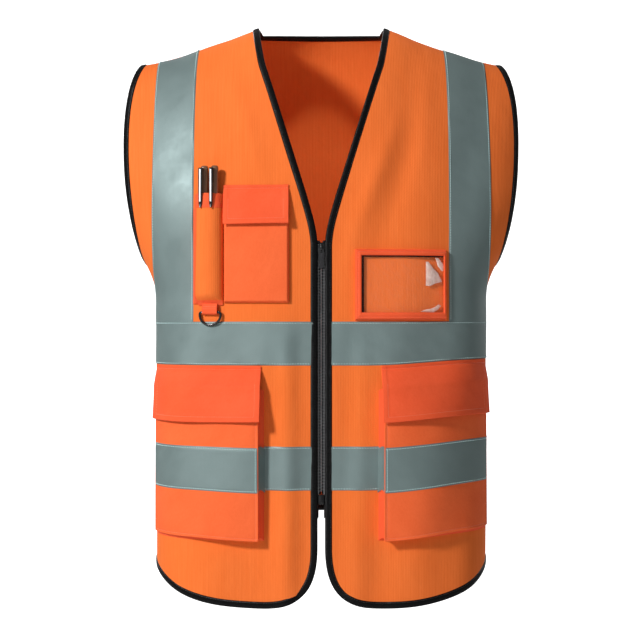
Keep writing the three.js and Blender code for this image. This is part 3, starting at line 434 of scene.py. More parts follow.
# ---------------------------------------------------------------- materials
class Surface:
    """A principled material whose colour, roughness and bump come from nodes."""

    def __init__(self, name, **sockets):
        self.material = bpy.data.materials.new(name)
        self.material.use_nodes = True
        self.tree = self.material.node_tree
        self.shader = self.tree.nodes["Principled BSDF"]
        for socket, value in sockets.items():
            self.shader.inputs[socket.replace("_", " ")].default_value = value
        self.where = self.node("ShaderNodeAttribute", attribute_name="cloth").outputs["Vector"]
        self.space = self.node("ShaderNodeTexCoord").outputs["Object"]

    def node(self, kind, **values):
        made = self.tree.nodes.new(kind)
        for key, value in values.items():
            setattr(made, key, value)
        return made

    def put(self, socket, value):
        if hasattr(value, "is_linked") or isinstance(value, bpy.types.NodeSocket):
            self.tree.links.new(value, socket)
        else:
            socket.default_value = value

    def math(self, operation, a, b=0.0, c=0.0):
        made = self.node("ShaderNodeMath", operation=operation)
        for socket, value in zip(made.inputs, (a, b, c)):
            self.put(socket, value)
        return made.outputs[0]

    def axis(self, index):
        split = self.node("ShaderNodeSeparateXYZ")
        self.put(split.inputs[0], self.where)
        return split.outputs[index]

    def wave(self, axis, pitch):
        """From 0 to 1 along one of the cloth's axes, once in every pitch of millimetres."""
        turned = self.math("SINE", self.math("MULTIPLY", self.axis(axis), 2 * math.pi / pitch))
        return self.math("MULTIPLY_ADD", turned, 0.5, 0.5)

    def noise(self, scale, stretch=(1, 1, 1), detail=3.0, on_cloth=True, rough=0.55):
        shaped = self.node("ShaderNodeMapping")
        self.put(shaped.inputs["Vector"], self.where if on_cloth else self.space)
        shaped.inputs["Scale"].default_value = stretch
        made = self.node("ShaderNodeTexNoise")
        self.put(made.inputs["Vector"], shaped.outputs[0])
        made.inputs["Scale"].default_value = scale
        made.inputs["Detail"].default_value = detail
        made.inputs["Roughness"].default_value = rough
        return made.outputs["Fac"]

    def remap(self, value, low, high, to_low=0.0, to_high=1.0):
        made = self.node("ShaderNodeMapRange")
        for socket, v in zip(made.inputs, (value, low, high, to_low, to_high)):
            self.put(socket, v)
        return made.outputs[0]

    def colour(self, share, first, second):
        made = self.node("ShaderNodeMix", data_type="RGBA")
        self.put(made.inputs["Factor"], share)
        self.put(made.inputs[6], (*first, 1) if isinstance(first, tuple) else first)
        self.put(made.inputs[7], (*second, 1) if isinstance(second, tuple) else second)
        return made.outputs[2]

    def link(self, socket, value):
        self.put(self.shader.inputs[socket], value)

    def bump(self, height, distance, strength=1.0):
        made = self.node("ShaderNodeBump")
        made.inputs["Strength"].default_value = strength
        made.inputs["Distance"].default_value = distance
        self.put(made.inputs["Height"], height)
        if getattr(self, "last_bump", None):
            self.put(made.inputs["Normal"], self.last_bump)
        self.last_bump = made.outputs[0]
        self.link("Normal", made.outputs[0])


def knit_cloth():
    """Polyester knit: fine wales running down, each of small stitches."""
    s = Surface("orange_knit", Roughness=0.82, Specular_IOR_Level=0.06, Sheen_Weight=0.03,
                Sheen_Roughness=0.5)
    s.shader.inputs["Sheen Tint"].default_value = (1.0, 0.62, 0.4, 1)
    wale = s.wave(0, 1.9)
    stitch = s.wave(1, 1.7)
    streak = s.noise(0.42, (1, 0.03, 1), 2.0)
    patch = s.noise(0.018, detail=2.0)
    shade = s.math("MULTIPLY_ADD", streak, 0.5, s.math("MULTIPLY", wale, 0.14))
    shade = s.math("MULTIPLY_ADD", patch, 0.35, shade)
    s.link("Base Color", s.colour(s.remap(shade, 0.2, 0.85), (0.80, 0.150, 0.026), (0.93, 0.206, 0.046)))
    s.bump(s.math("MULTIPLY_ADD", stitch, 0.5, wale), 0.0003, 0.35)
    s.bump(s.noise(0.05, (1, 0.5, 1)), 0.003, 0.25)
    return s.material


def woven_cloth(name, dark, light, pitch=0.9):
    """Plain woven polyester, redder and smoother than the knit."""
    s = Surface(name, Roughness=0.66, Sheen_Weight=0.03, Sheen_Roughness=0.45, Specular_IOR_Level=0.08)
    s.shader.inputs["Sheen Tint"].default_value = (1.0, 0.55, 0.4, 1)
    weave = s.math("MULTIPLY", s.wave(0, pitch), s.wave(1, pitch))
    slub = s.noise(0.5, (1, 0.6, 1))
    shade = s.math("MULTIPLY_ADD", slub, 0.35, s.math("MULTIPLY", weave, 0.2))
    shade = s.math("MULTIPLY_ADD", s.noise(0.03, detail=2.0), 0.4, shade)
    s.link("Base Color", s.colour(s.remap(shade, 0.15, 0.75), dark, light))
    s.bump(weave, 0.00025, 0.5)
    s.bump(s.noise(0.09), 0.0015, 0.35)
    return s.material


def silver_cloth():
    """Glass-bead reflective tape on a woven backing: grey, slightly metallic, faintly cross-hatched."""
    s = Surface("silver_tape", Roughness=0.5, Metallic=0.3, Specular_IOR_Level=0.4)
    bead = s.noise(3.2, detail=2.0)
    hatch = s.math("MULTIPLY", s.wave(0, 1.6), s.wave(1, 1.6))
    worn = s.noise(0.035, detail=4.0, rough=0.65)
    shade = s.math("MULTIPLY_ADD", worn, 0.35, s.math("MULTIPLY", bead, 0.35))
    shade = s.math("MULTIPLY_ADD", hatch, 0.12, shade)
    s.link("Base Color", s.colour(s.remap(shade, 0.15, 0.65), (0.150, 0.205, 0.203), (0.225, 0.295, 0.291)))
    s.link("Roughness", s.remap(worn, 0.3, 0.7, 0.42, 0.6))
    s.bump(s.math("MULTIPLY_ADD", hatch, 0.4, bead), 0.00018, 0.5)
    s.bump(s.noise(0.11, detail=4.0), 0.0008, 0.2)
    return s.material


def binding_cloth():
    """Black polyester binding tape with fine cross ribs and a satin gloss."""
    s = Surface("black_binding", Roughness=0.36, Specular_IOR_Level=0.14)
    rib = s.wave(1, 1.1)
    fleck = s.noise(0.8)
    share = s.math("MULTIPLY", rib, fleck)
    s.link("Base Color", s.colour(share, (0.0012, 0.0012, 0.0014), (0.005, 0.005, 0.0055)))
    s.link("Roughness", s.remap(fleck, 0.3, 0.7, 0.24, 0.42))
    s.bump(rib, 0.00025, 0.5)
    s.bump(s.noise(0.12, detail=2.0), 0.001, 0.4)
    return s.material


def zip_cloth():
    """The zip's black woven tape, ribbed along and across."""
    s = Surface("zip_cloth", Roughness=0.75, Specular_IOR_Level=0.2)
    rib = s.wave(0, 0.9)
    twill = s.wave(1, 0.8)
    share = s.math("MULTIPLY", rib, twill)
    s.link("Base Color", s.colour(share, (0.004, 0.004, 0.0045), (0.016, 0.0165, 0.018)))
    s.bump(s.math("ADD", rib, twill), 0.0002, 0.6)
    return s.material


def moulded(name, dark, light, roughness, grain=900.0, distance=0.00005, **sockets):
    """Plastic or lacquered metal, with a fine grain and uneven gloss. Its paler colour goes on sharp edges
    and in random patches: worn edges and tone on the plain black parts, painted highlight on the zip teeth
    and painted reflection on the pen barrels.
    """
    s = Surface(name, **sockets)
    grit = s.noise(grain, on_cloth=False)
    tone_and_sheen_patch = s.noise(60.0, on_cloth=False)
    # Pale towards edges and in patches: wear and tone on black plastic and metal, painted highlight and
    # painted reflection where the pale colour is much lighter.
    edge = s.remap(s.node("ShaderNodeNewGeometry").outputs["Pointiness"], 0.52, 0.62)
    share = s.math("MAXIMUM", s.math("MULTIPLY", tone_and_sheen_patch, 0.5), edge)
    s.link("Base Color", s.colour(share, dark, light))
    s.link("Roughness", s.remap(tone_and_sheen_patch, 0.3, 0.7, roughness * 0.75, roughness * 1.3))
    s.bump(grit, distance, 0.5)
    return s.material


def clear_film():
    """Soft clear vinyl with faint scuffs and shallow waves."""
    s = Surface("clear_film", Roughness=0.04, IOR=1.5, Specular_IOR_Level=0.6, Coat_Weight=0.4, Alpha=0.06)
    s.shader.inputs["Coat Roughness"].default_value = 0.05
    scuff = s.noise(0.35, (0.25, 1, 1), 5.0, rough=0.7)
    s.link("Base Color", s.colour(scuff, (0.86, 0.30, 0.14), (0.98, 0.60, 0.42)))
    s.link("Roughness", s.remap(scuff, 0.5, 0.8, 0.03, 0.09))
    s.link("Alpha", s.remap(scuff, 0.45, 0.85, 0.03, 0.10))
    s.bump(s.noise(0.05, (1, 0.4, 1), 2.0), 0.003, 0.3)
    return s.material


def painted_glare_film():
    """Pale, milky, half-clear patches laid on the film where it should shine: painted highlight standing in
    for the glare on the buckled vinyl.
    """
    s = Surface("painted_glare_film", Roughness=0.12, IOR=1.5, Specular_IOR_Level=0.8, Coat_Weight=0.6, Alpha=0.5)
    painted_glare = s.noise(0.3, (1, 0.5, 1), 4.0, rough=0.7)
    s.link("Base Color", s.colour(painted_glare, (0.95, 0.62, 0.50), (1.0, 0.93, 0.9)))
    s.link("Alpha", s.remap(painted_glare, 0.3, 0.7, 0.4, 0.72))
    return s.material


def fuzzy(name, dark, light):
    """Hook or loop tape: a dense pile of short fibres."""
    s = Surface(name, Roughness=0.95, Sheen_Weight=0.5, Sheen_Roughness=0.6)
    pile = s.noise(1.6, detail=5.0, rough=0.75)
    dots = s.math("MULTIPLY", s.wave(0, 1.4), s.wave(1, 1.4))
    share = s.math("MULTIPLY_ADD", dots, 0.5, s.math("MULTIPLY", pile, 0.6))
    s.link("Base Color", s.colour(share, dark, light))
    s.bump(s.math("ADD", pile, dots), 0.0006, 0.9)
    return s.material


def thread(name, dark, light, roughness=0.55):
    """Twisted sewing thread."""
    s = Surface(name, Roughness=roughness, Sheen_Weight=0.2)
    twist = s.noise(1.4, detail=2.0)
    s.link("Base Color", s.colour(twist, dark, light))
    s.bump(twist, 0.0002, 0.6)
    return s.material


KNIT = knit_cloth()
WOVEN = woven_cloth("red_orange_cloth", (0.84, 0.090, 0.026), (0.98, 0.142, 0.052))
POCKET = woven_cloth("pocket_cloth", (0.84, 0.118, 0.030), (0.98, 0.178, 0.055), 1.0)
SILVER = silver_cloth()
BINDING = binding_cloth()
ZIP_CLOTH = zip_cloth()
PLASTIC = moulded("black_plastic", (0.003, 0.003, 0.0035), (0.012, 0.012, 0.013), 0.24,
                  Specular_IOR_Level=0.4)
METAL = moulded("black_metal", (0.004, 0.004, 0.0045), (0.03, 0.03, 0.033), 0.2,
                Specular_IOR_Level=0.45, Coat_Weight=0.25)
# The zip teeth's grey (0.30) on their edges and patches is painted highlight, standing in for the glints of
# light on the glossy black teeth.
TEETH_PAINTED_GLINTS = moulded("zip_teeth", (0.012, 0.012, 0.013), (0.30, 0.30, 0.31), 0.2, Coat_Weight=1.0)
CHROME = moulded("chrome", (0.80, 0.80, 0.82), (0.95, 0.95, 0.96), 0.42, Metallic=0.55)
# The pens' amber patches and pale edges are painted reflection, standing in for the orange light reflected in
# the glossy black barrels.
PEN_PLASTIC_PAINTED_REFLECTION = moulded("pen_plastic_painted_reflection", (0.006, 0.003, 0.002), (0.75, 0.32, 0.16), 0.14, Coat_Weight=0.8)
FILM = clear_film()
GLARE_PATCH_FILM = painted_glare_film()
HOOK = fuzzy("hook_tape", (0.62, 0.11, 0.03), (0.95, 0.24, 0.08))
TAPE_THREAD = thread("tape_thread", (0.40, 0.62, 0.62), (0.62, 0.82, 0.81))
ORANGE_THREAD = thread("orange_thread", (0.82, 0.15, 0.06), (1.0, 0.28, 0.14))
BLACK_THREAD = thread("black_thread", (0.003, 0.003, 0.0035), (0.014, 0.014, 0.016), 0.4)

# ---------------------------------------------------------------- stitching
SEAMS = {}
CLOTH_STITCH = {"pitch": 2.9, "width": 0.24}
TAPE_STITCH = {"pitch": 3.0, "width": 0.42}
BINDING_STITCH = {"pitch": 2.8, "width": 0.26}
STITCH_RINGS, STITCH_SIDES, STITCH_GAP = 5, 6, 0.22


def sew(group, points, normals, pitch, width):
    """Adds a row of thread stitches along a line of points; group is (body, thread)."""
    along = lengths(points)
    count = max(1, int(along[-1] / pitch))
    within = np.linspace(STITCH_GAP / 2, 1 - STITCH_GAP / 2, STITCH_RINGS)
    share = (np.arange(count)[:, None] + within[None, :]) / count * along[-1]
    line = np.stack([np.interp(share, along, points[:, k]) for k in range(3)], -1)
    up = unit(np.stack([np.interp(share, along, normals[:, k]) for k in range(3)], -1))
    aside = np.cross(unit(line[:, -1:] - line[:, :1]), up)
    arch = np.array([-0.9, 0.35, 0.6, 0.35, -0.9])[None, :, None]
    size = np.array([0.55, 1.0, 1.0, 1.0, 0.55])[None, :, None, None]
    t = (np.arange(STITCH_SIDES) * 2 * math.pi / STITCH_SIDES)[None, None, :, None]
    ring = np.cos(t) * aside[:, :, None] + np.sin(t) * up[:, :, None]
    verts = (line + up * arch * width)[:, :, None] + ring * size * width
    each = STITCH_RINGS * STITCH_SIDES
    one = [tuple(q) for q in grid_quads(STITCH_RINGS, STITCH_SIDES, False, True).tolist()]
    one += [tuple(range(STITCH_SIDES)), tuple(range(each - 1, each - STITCH_SIDES - 1, -1))]
    faces = [tuple(i + k * each for i in face) for k in range(count) for face in one]
    SEAMS.setdefault(group, []).append(as_mesh(verts.reshape(-1, 3), faces))


def sew_line(group, side, x, z, lift, stitch):
    points, normals = place(side, x, z, lift)
    sew(group, points, normals, **stitch)


# ---------------------------------------------------------------- cut lines
def bezier(a, b, c, d, count=20):
    t = np.linspace(0, 1, count)[:, None]
    a, b, c, d = (np.asarray(p, float) for p in (a, b, c, d))
    return a * (1 - t) ** 3 + 3 * b * t * (1 - t) ** 2 + 3 * c * t**2 * (1 - t) + d * t**3


NECK_POINT = (76.0, float(ridge(76.0)))
FRONT_LINE = np.concatenate([
    [NECK_POINT],
    bezier((75, -7), (72, -24), (68.4, -46), (65.4, -58)),
    bezier((65.4, -58), (50, -106), (33, -162), (17.6, -211))[1:],
    bezier((17.6, -211), (9.4, -239), (4.4, -255), (4.4, -275))[1:],
    np.stack([np.full(60, 4.4), np.linspace(-280, -618, 60)], -1),
    bezier((4.4, -618), (4.4, -665), (22, -688), (69, -688), 30)[1:],
    bezier((69, -688), (125, -688), (174, -678), (198, SIDE_HEM_Z), 40)[1:],
])
CORNER_AT = (23.0, -667.0)


def armhole(bulge):
    line = np.concatenate([
        [(220.6, float(ridge(220.6)))],
        bezier((221, -50), (mix(221, bulge, 0.9), -74), (bulge + 1, -115), (bulge, -150), 24),
        bezier((bulge, -150), (bulge - 1, -200), (bulge - 8, -255), (208, -304), 40)[1:],
    ])
    inside = np.abs(line[:, 0]) < half_width(ridge(line[:, 0]) - line[:, 1]) - 0.01
    last = int(np.argmin(inside)) if not inside.all() else len(line) - 1
    x, z = line[last]
    line = line[: last + 1].copy()
    line[-1, 0] = float(half_width(ridge(x) - z))
    return line


FRONT_ARMHOLE, BACK_ARMHOLE = armhole(234.0), armhole(227.0)
BACK_NECK = np.concatenate([
    [(0.0, 0.0)],
    bezier((8, 0), (34, -0.4), (60, -3.2), (72, -5.0), 24),
    [NECK_POINT],
])
BACK_HEM = bezier((0, BACK_HEM_Z), (90, BACK_HEM_Z), (120, SIDE_HEM_Z), (198, SIDE_HEM_Z), 50)


def trace(side, line, step=3.0):
    """Evenly spaced columns and turns of the form along a cut line."""
    column, turn = on_form(side, line[:, 0], line[:, 1])
    fine = np.linspace(0, len(line) - 1, 12 * len(line))
    column = np.interp(fine, np.arange(len(line)), column)
    turn = np.interp(fine, np.arange(len(line)), turn)
    points = form(side, column, turn)
    along = lengths(points)
    at = np.linspace(0, along[-1], max(4, int(along[-1] / step)))
    return np.interp(at, along, column), np.interp(at, along, turn)


def rail(side, line, hand, within, step=3.0):
    """Points, normals and directions into the cloth for a cut line."""
    column, turn = trace(side, line, step)
    points = form(side, column, turn)
    normals = form_normal(side, column, turn)
    along = unit(np.gradient(points, axis=0))
    inward = unit(np.cross(normals, along) * within)
    lifted = points + normals * (folds(side, points[:, 0] * hand, points[:, 2]) * ease(column))[:, None]
    mirror = np.array([hand, 1, 1])
    return (lifted - TO_NAPE) * mirror, normals * mirror, inward * mirror


def moved_in(side, line, within, distance):
    """A cut line moved into the cloth, as columns and turns of the form."""
    column, turn = trace(side, line, 4.0)
    points, normals = form(side, column, turn), form_normal(side, column, turn)
    inward = unit(np.cross(normals, np.gradient(points, axis=0)) * within)
    new = points + inward * distance
    return on_form(side, new[:, 0], new[:, 2])


def resample(path, count):
    """Evenly spaced points of a path through columns and turns."""
    path = np.stack(path, -1)
    scaled = path * (260, 150)
    along = lengths(scaled)
    at = np.linspace(0, along[-1], count)
    return np.stack([np.interp(at, along, path[:, k]) for k in (0, 1)], -1)


def between(top, bottom, first, last):
    """A grid of columns and turns that meets four edges."""
    rows, cols = len(first), len(top)
    s = np.linspace(0, 1, cols)[None, :, None]
    t = np.linspace(0, 1, rows)[:, None, None]
    sides = first[:, None] * (1 - s) + last[:, None] * s
    ends = top[None] * (1 - t) + bottom[None] * t
    corners = (first[0] * (1 - s) + last[0] * s) * (1 - t) + (first[-1] * (1 - s) + last[-1] * s) * t
    return sides + ends - corners


def panel(side, grid, hand=1):
    """The cloth of a panel on a grid of columns and turns."""
    column, turn = grid[..., 0] * hand, grid[..., 1]
    base, normal = form(side, column, turn), form_normal(side, column, turn)
    off = folds(side, base[..., 0], base[..., 2]) * ease(column)
    base = base - TO_NAPE
    outer = base + normal * (off + CLOTH)[..., None]
    inner = base + normal * off[..., None]
    return thick(outer, inner, cloth_coords(side, column, turn))


UNDER_BINDING = 5.0
HANDS = {"right": -1, "left": 1}
COLUMNS, ROWS = 72, 210
NECK_COLUMNS, SHOULDER_COLUMNS = 28, 44


def outer_edge(arm, end_turn):
    """The armhole, then the side seam down to the hem, as columns and turns."""
    column, turn = (np.array(a) for a in arm)
    turn[0] = 0.0
    column = np.append(np.minimum(column, 0.995), [1.0, 1.0])
    turn = np.append(turn, [turn[-1] + 0.03, end_turn])
    return column, turn


def front_grid():
    """A front from the shoulder to the hem, its first column down the V and the zip."""
    column, turn = moved_in(-1, FRONT_LINE, 1, UNDER_BINDING)
    turn[0], column[-1] = 0.0, 1.0
    points = form(-1, column, turn)
    corner = int(np.argmin(np.hypot(points[:, 0] - CORNER_AT[0], points[:, 2] - CORNER_AT[1])))
    first = resample((column[: corner + 1], turn[: corner + 1]), ROWS)
    bottom = resample((column[corner:], turn[corner:]), COLUMNS)
    edge = outer_edge(moved_in(-1, FRONT_ARMHOLE, -1, UNDER_BINDING), turn[-1])
    last = resample(edge, ROWS)
    top = np.stack([np.linspace(first[0, 0], last[0, 0], COLUMNS), np.zeros(COLUMNS)], -1)
    return between(top, bottom, first, last)


def back_grid():
    """The back from the neck and shoulders to the arched hem."""
    neck_c, neck_t = moved_in(1, BACK_NECK, 1, UNDER_BINDING)
    neck_c[0], neck_t[-1] = 0.0, 0.0
    hem_c, hem_t = moved_in(1, BACK_HEM, -1, UNDER_BINDING)
    hem_c[0], hem_c[-1] = 0.0, 1.0
    edge = outer_edge(moved_in(1, BACK_ARMHOLE, 1, UNDER_BINDING), hem_t[-1])
    last = resample(edge, ROWS)
    neck = resample((neck_c, neck_t), NECK_COLUMNS)
    along = np.linspace(neck[-1, 0], last[0, 0], SHOULDER_COLUMNS)
    shoulder = np.stack([along, np.zeros(SHOULDER_COLUMNS)], -1)
    half = np.concatenate([neck, shoulder[1:]])
    hem = resample((hem_c, hem_t), len(half))
    flip = np.array([-1.0, 1.0])
    top = np.concatenate([half[:0:-1] * flip, half])
    bottom = np.concatenate([hem[:0:-1] * flip, hem])
    return between(top, bottom, last * flip, last)


FRONT_GRID = front_grid()
for name, hand in HANDS.items():
    make(f"front_{name}_knit", panel(-1, FRONT_GRID, hand), KNIT,
         stands_for=[f"front_panel_{name}"], bend=front_bend(hand))
make("back_knit", panel(1, back_grid()), KNIT, "back", ["back_panel"])


# ---------------------------------------------------------------- bindings
def binding(side, line, hand, within):
    """Tape folded over a cut line, and the line and facing of its stitches."""
    points, normals, inward = rail(side, line, hand, within, 2.6)
    centres = points + inward * (BINDING_WIDTH / 2 - 0.1) + normals * 0.6
    lumps = 1 + 0.05 * np.sin(np.arange(len(points)) * 0.9) * np.sin(np.arange(len(points)) * 0.23)
    swell = np.stack([np.ones_like(lumps), lumps], -1)[:, None]
    shape = ellipse(BINDING_WIDTH / 2 + 0.15, 1.75, 16, 0.72)[None] * swell
    return tube(centres, inward, normals, shape), points + inward * 6.5 + normals * 2.05, normals


def both_ways(line):
    return np.concatenate([line[:0:-1] * (-1, 1), line])


for name, hand in HANDS.items():
    body = f"front_{name}"
    for piece, line, within, node in (
        ("edge_binding", FRONT_LINE, 1, f"front_edge_binding_{name}"),
        ("armhole_binding", FRONT_ARMHOLE, -1, f"armhole_binding_front_{name}"),
    ):
        part, stitch_line, up = binding(-1, line, hand, within)
        make(f"{piece}_{name}", part, BINDING, stands_for=[node], bend=front_bend(hand))
        sew((body, "black"), stitch_line, up, **BINDING_STITCH)
    part, stitch_line, up = binding(1, BACK_ARMHOLE, hand, 1)
    make(f"armhole_binding_rear_{name}", part, BINDING, "back",
         [f"armhole_binding_back_{name}"])
    sew(("back", "black"), stitch_line, up, **BINDING_STITCH)
for piece, line, within in (("neck_binding", BACK_NECK, 1), ("hem_binding", BACK_HEM, -1)):
    part, stitch_line, up = binding(1, both_ways(line), 1, within)
    make(piece, part, BINDING, "back", [f"{piece}_back"])
    sew(("back", "black"), stitch_line, up, **BINDING_STITCH)


# ---------------------------------------------------------------- seams of the body
def seam_line(hand, name, columns, turns):
    """A flat felled seam: a low rounded welt along columns and turns of the back."""
    base, normals = form(1, columns, turns), form_normal(1, columns, turns)
    along = unit(np.gradient(base, axis=0))
    aside = np.cross(normals, along)
    mirror = np.array([hand, 1, 1])
    centres = (base + normals * 0.9 - TO_NAPE) * mirror
    part = tube(centres, aside * mirror, normals * mirror, ellipse(3.4, 0.85, 12, 0.8))
    make(name, part, KNIT, "back")
    for off in (-1.9, 1.9):
        line = centres + (aside * off + normals * 0.78) * mirror
        sew(("back", "orange"), line, normals * mirror, **CLOTH_STITCH)


SHOULDER_SEAM_X = np.array([81.0, 214.0])
for name, hand in HANDS.items():
    shoulder_c, _ = on_form(1, SHOULDER_SEAM_X, ridge(SHOULDER_SEAM_X))
    seam_line(hand, f"shoulder_seam_{name}", np.linspace(*shoulder_c, 50), np.full(50, 0.004))
    under = on_form(1, *BACK_ARMHOLE[-1])[1] + 0.03
    low = on_form(1, 198.0, SIDE_HEM_Z + 7)[1]
    seam_line(hand, f"side_seam_{name}", np.full(90, 0.9999), np.linspace(under, low, 90))


# ---------------------------------------------------------------- reflective tape
def tape_part(side, x, z, edge_axis=0):
    """A strip of tape on a grid of places: pressed down at its sewn edges and slightly rippled between."""
    count = x.shape[edge_axis]
    share = np.linspace(0, 1, count)
    shape = (count, 1) if edge_axis == 0 else (1, count)
    press = np.minimum(share, 1 - share).reshape(shape) * TAPE_WIDTH
    sunk = 0.28 * np.exp(-np.square((press - 1.7) / 0.9)) + 0.5 * np.exp(-press / 0.35)
    ripple = 0.22 * np.sin(x / 7.0 + z / 9.0) * np.exp(-np.square((press - 5) / 4))
    ripple = ripple + 0.3 * np.sin(x / 17.0 - z / 23.0)
    return layer(side, x, z, TAPE_UNDER, TAPE_OUT - sunk + ripple * smooth(press / 5))[0]


def edge_rows(low, high, inner=14):
    """Rows across a tape, closer together at its two sewn edges."""
    fine = np.array([0, 0.6, 1.2, 1.7, 2.3, 3.2, 4.6])
    middle = np.linspace(low + 7.0, high - 7.0, inner)
    return np.concatenate([low + fine, middle, (high - fine)[::-1]])


def across(start, end_column=1.0, count=None):
    """Places across a level band, evenly spaced round the form, from x = start to the side seam."""
    first = math.asin(start / WAIST_HALF_WIDTH) * 2 / math.pi
    count = count or int((end_column - first) * 100)
    return WAIST_HALF_WIDTH * np.sin(np.linspace(first, end_column, count) * math.pi / 2)


BANDS = (("upper", UPPER_BAND_TOP), ("lower", LOWER_BAND_TOP))
EDGE_IN = 1.7
for name, hand in HANDS.items():
    body = f"front_{name}"
    for height, top in BANDS:
        xs = across(9.0) * hand
        x, z = np.meshgrid(xs, edge_rows(top - TAPE_WIDTH, top))
        make(f"{height}_band_front_{name}", tape_part(-1, x, z), SILVER, body,
             [f"{height}_tape_front_{name}"])
        for edge in (top - EDGE_IN, top - TAPE_WIDTH + EDGE_IN):
            sew_line((body, "tape"), -1, across(13.0) * hand, edge, TAPE_OUT - 0.1, TAPE_STITCH)
    for side, where, owner in ((-1, "front", body), (1, "back", "back")):
        xs = edge_rows(*BRACE_X)
        ends = on_form(side, xs, np.full_like(xs, UPPER_BAND_TOP - 2))[1]
        turns = np.linspace(0, 1, 110)[:, None] * ends[None, :]
        drop = drop_at(side, turns)
        x = np.broadcast_to(xs[None, :], drop.shape) * hand
        z = ridge(x) - drop
        bend = front_bend(hand) if side < 0 else None
        make(f"shoulder_brace_{where}_{name}", tape_part(side, x, z, edge_axis=1), SILVER,
             owner, [f"shoulder_tape_{where}_{name}"], bend=bend)
        for column in (3, len(xs) - 4):
            keep = z[:, column] > UPPER_BAND_TOP
            sew_line((owner, "tape"), side, x[keep, column], z[keep, column], TAPE_OUT - 0.1,
                     TAPE_STITCH)
for height, top in BANDS:
    half = across(0.001)
    x, z = np.meshgrid(np.concatenate([-half[:0:-1], half]), edge_rows(top - TAPE_WIDTH, top))
    make(f"{height}_band_back", tape_part(1, x, z), SILVER, "back", [f"{height}_tape_back"])
    for edge in (top - EDGE_IN, top - TAPE_WIDTH + EDGE_IN):
        sew_line(("back", "tape"), 1, x[0], edge, TAPE_OUT - 0.1, TAPE_STITCH)


# ---------------------------------------------------------------- flaps
PATCH_ROOM = 2.2
FLAP_INSET, FLAP_TOP_STITCH = 5.6, 3.6


def flap_rise(x, z, top, bottom, face_lift, run):
    """The flap's underside: flat at the seam, then out over the pocket within run."""
    climb = clamp01((top - 4 - z) / run) ** 0.85
    flare = 1.5 * clamp01((top - z) / (top - bottom))
    room = mix(PATCH_ROOM, 0.6, smooth((np.abs(x) - 150) / 40))
    return mix(1.5, face_lift + CLOTH + 0.3 + room + flare * room / PATCH_ROOM, climb)


def lines(low, high, step, marks, near=(-1.6, -0.8, 0, 0.8, 1.6)):
    """Grid lines from low to high, with extra ones about each stitched mark."""
    base = np.linspace(low, high, max(2, int((high - low) / step)))
    extra = [m + d for m in marks for d in near if low < m + d < high]
    every = np.unique(np.round(np.concatenate([base, extra]), 3))
    keep = np.concatenate([[True], np.diff(every) > 0.35])
    keep[-1] = True
    return every[keep]


def nearest(values, wanted):
    return int(np.argmin(np.abs(values - wanted)))


def hem_relief(d, hem=7.0, stitch=5.6):
    """A folded hem is thicker than the cloth inside it and dips under its stitches."""
    return 0.55 * smooth((hem - d) / 1.2) - 0.42 * np.exp(-np.square((d - stitch) / 0.75))


def flap(name, node, body, parent, x_range, z_range, face_lift, corner_flare, bend_z, run=20.0, square=0.0):
    """A pocket flap, sewn down along its top edge and hanging clear of the pocket."""
    x0, x1 = x_range
    inset = FLAP_INSET
    low, high = min(x0, x1), max(x0, x1)
    xs = lines(low, high, 2.6, (low + inset, high - inset))
    zs = lines(z_range[0], z_range[1], 2.4, (z_range[0] + inset, z_range[1] - FLAP_TOP_STITCH))
    x, z = np.meshgrid(xs, zs)
    down = clamp01((z_range[1] - z) / (z_range[1] - z_range[0]))
    edge = np.minimum(np.minimum(x - low, high - x), z - z_range[0])
    away = np.abs(x - x1) / abs(x1 - x0)
    lift = flap_rise(x, z, z_range[1], z_range[0], face_lift(x, z), run)
    lift = lift + corner_flare * down**2 * (1 - away) ** 3 + 0.6 * down**2 * away**6
    lift = lift + 0.8 * np.sin(x / 15.0) * down * smooth((z_range[1] - 14 - z) / 20)
    relief = hem_relief(edge) - 0.5 * np.exp(-np.square((z - z_range[1] + FLAP_TOP_STITCH) / 0.9))
    low_z = z - 0.7 * np.sin(x / 31.0) * down
    _, facing = place(-1, x, low_z)
    level = x - square * facing[..., 0] * (lift - 1.5)
    part, outer, _ = layer(-1, level, low_z, lift, lift + CLOTH + relief, coords_at(-1, x, z))
    middle = (x0 + x1) / 2
    make(name, part, WOVEN, stands_for=[node],
         bend=(parent, body, (middle * MM, 0, bend_z[0] * MM), (middle * MM, 0, bend_z[1] * MM)))
    up = grid_normals(outer)
    up = up * np.sign(np.sum(up * (0, -1, 0), -1, keepdims=True))
    row = nearest(zs, z_range[0] + inset)
    keep = (xs > low + inset - 0.5) & (xs < high - inset + 0.5)
    sew((body, "orange"), outer[row][keep], up[row][keep], **CLOTH_STITCH)
    for column in (nearest(xs, low + inset), nearest(xs, high - inset)):
        keep = (zs > z_range[0] + inset - 0.5) & (zs < bend_z[1])
        sew((body, "orange"), outer[keep, column], up[keep, column], **CLOTH_STITCH)
    row = nearest(zs, z_range[1] - FLAP_TOP_STITCH)
    sew((parent, "orange_low"), outer[row], up[row], **CLOTH_STITCH)


# ---------------------------------------------------------------- bellows pockets
def bellows_lift(x, z):
    """How far the bellows pocket's face stands off the front."""
    aside = smooth((np.abs(x) - BELLOWS_X) / (WAIST_HALF_WIDTH - BELLOWS_X))
    full = mix(15.0, 3.4, aside)
    mouth = smooth((z - FLAP_Z[0]) / (BELLOWS_Z[1] - FLAP_Z[0]))
    hand = np.sign(x)
    slack = 1.3 * bump(x, z, 120 * hand, -560, 40, 40) - 0.9 * bump(x, z, 150 * hand, -480, 30, 30)
    return mix(full, mix(9.0, 3.0, aside), mouth) + slack * (np.abs(x) > 1)


def sag(x, z):
    """The pocket's loaded inner corner hangs a little lower than its outer one."""
    return 3.0 * smooth((BELLOWS_Z[1] - z) / 180) * smooth((150 - np.abs(x)) / 80)


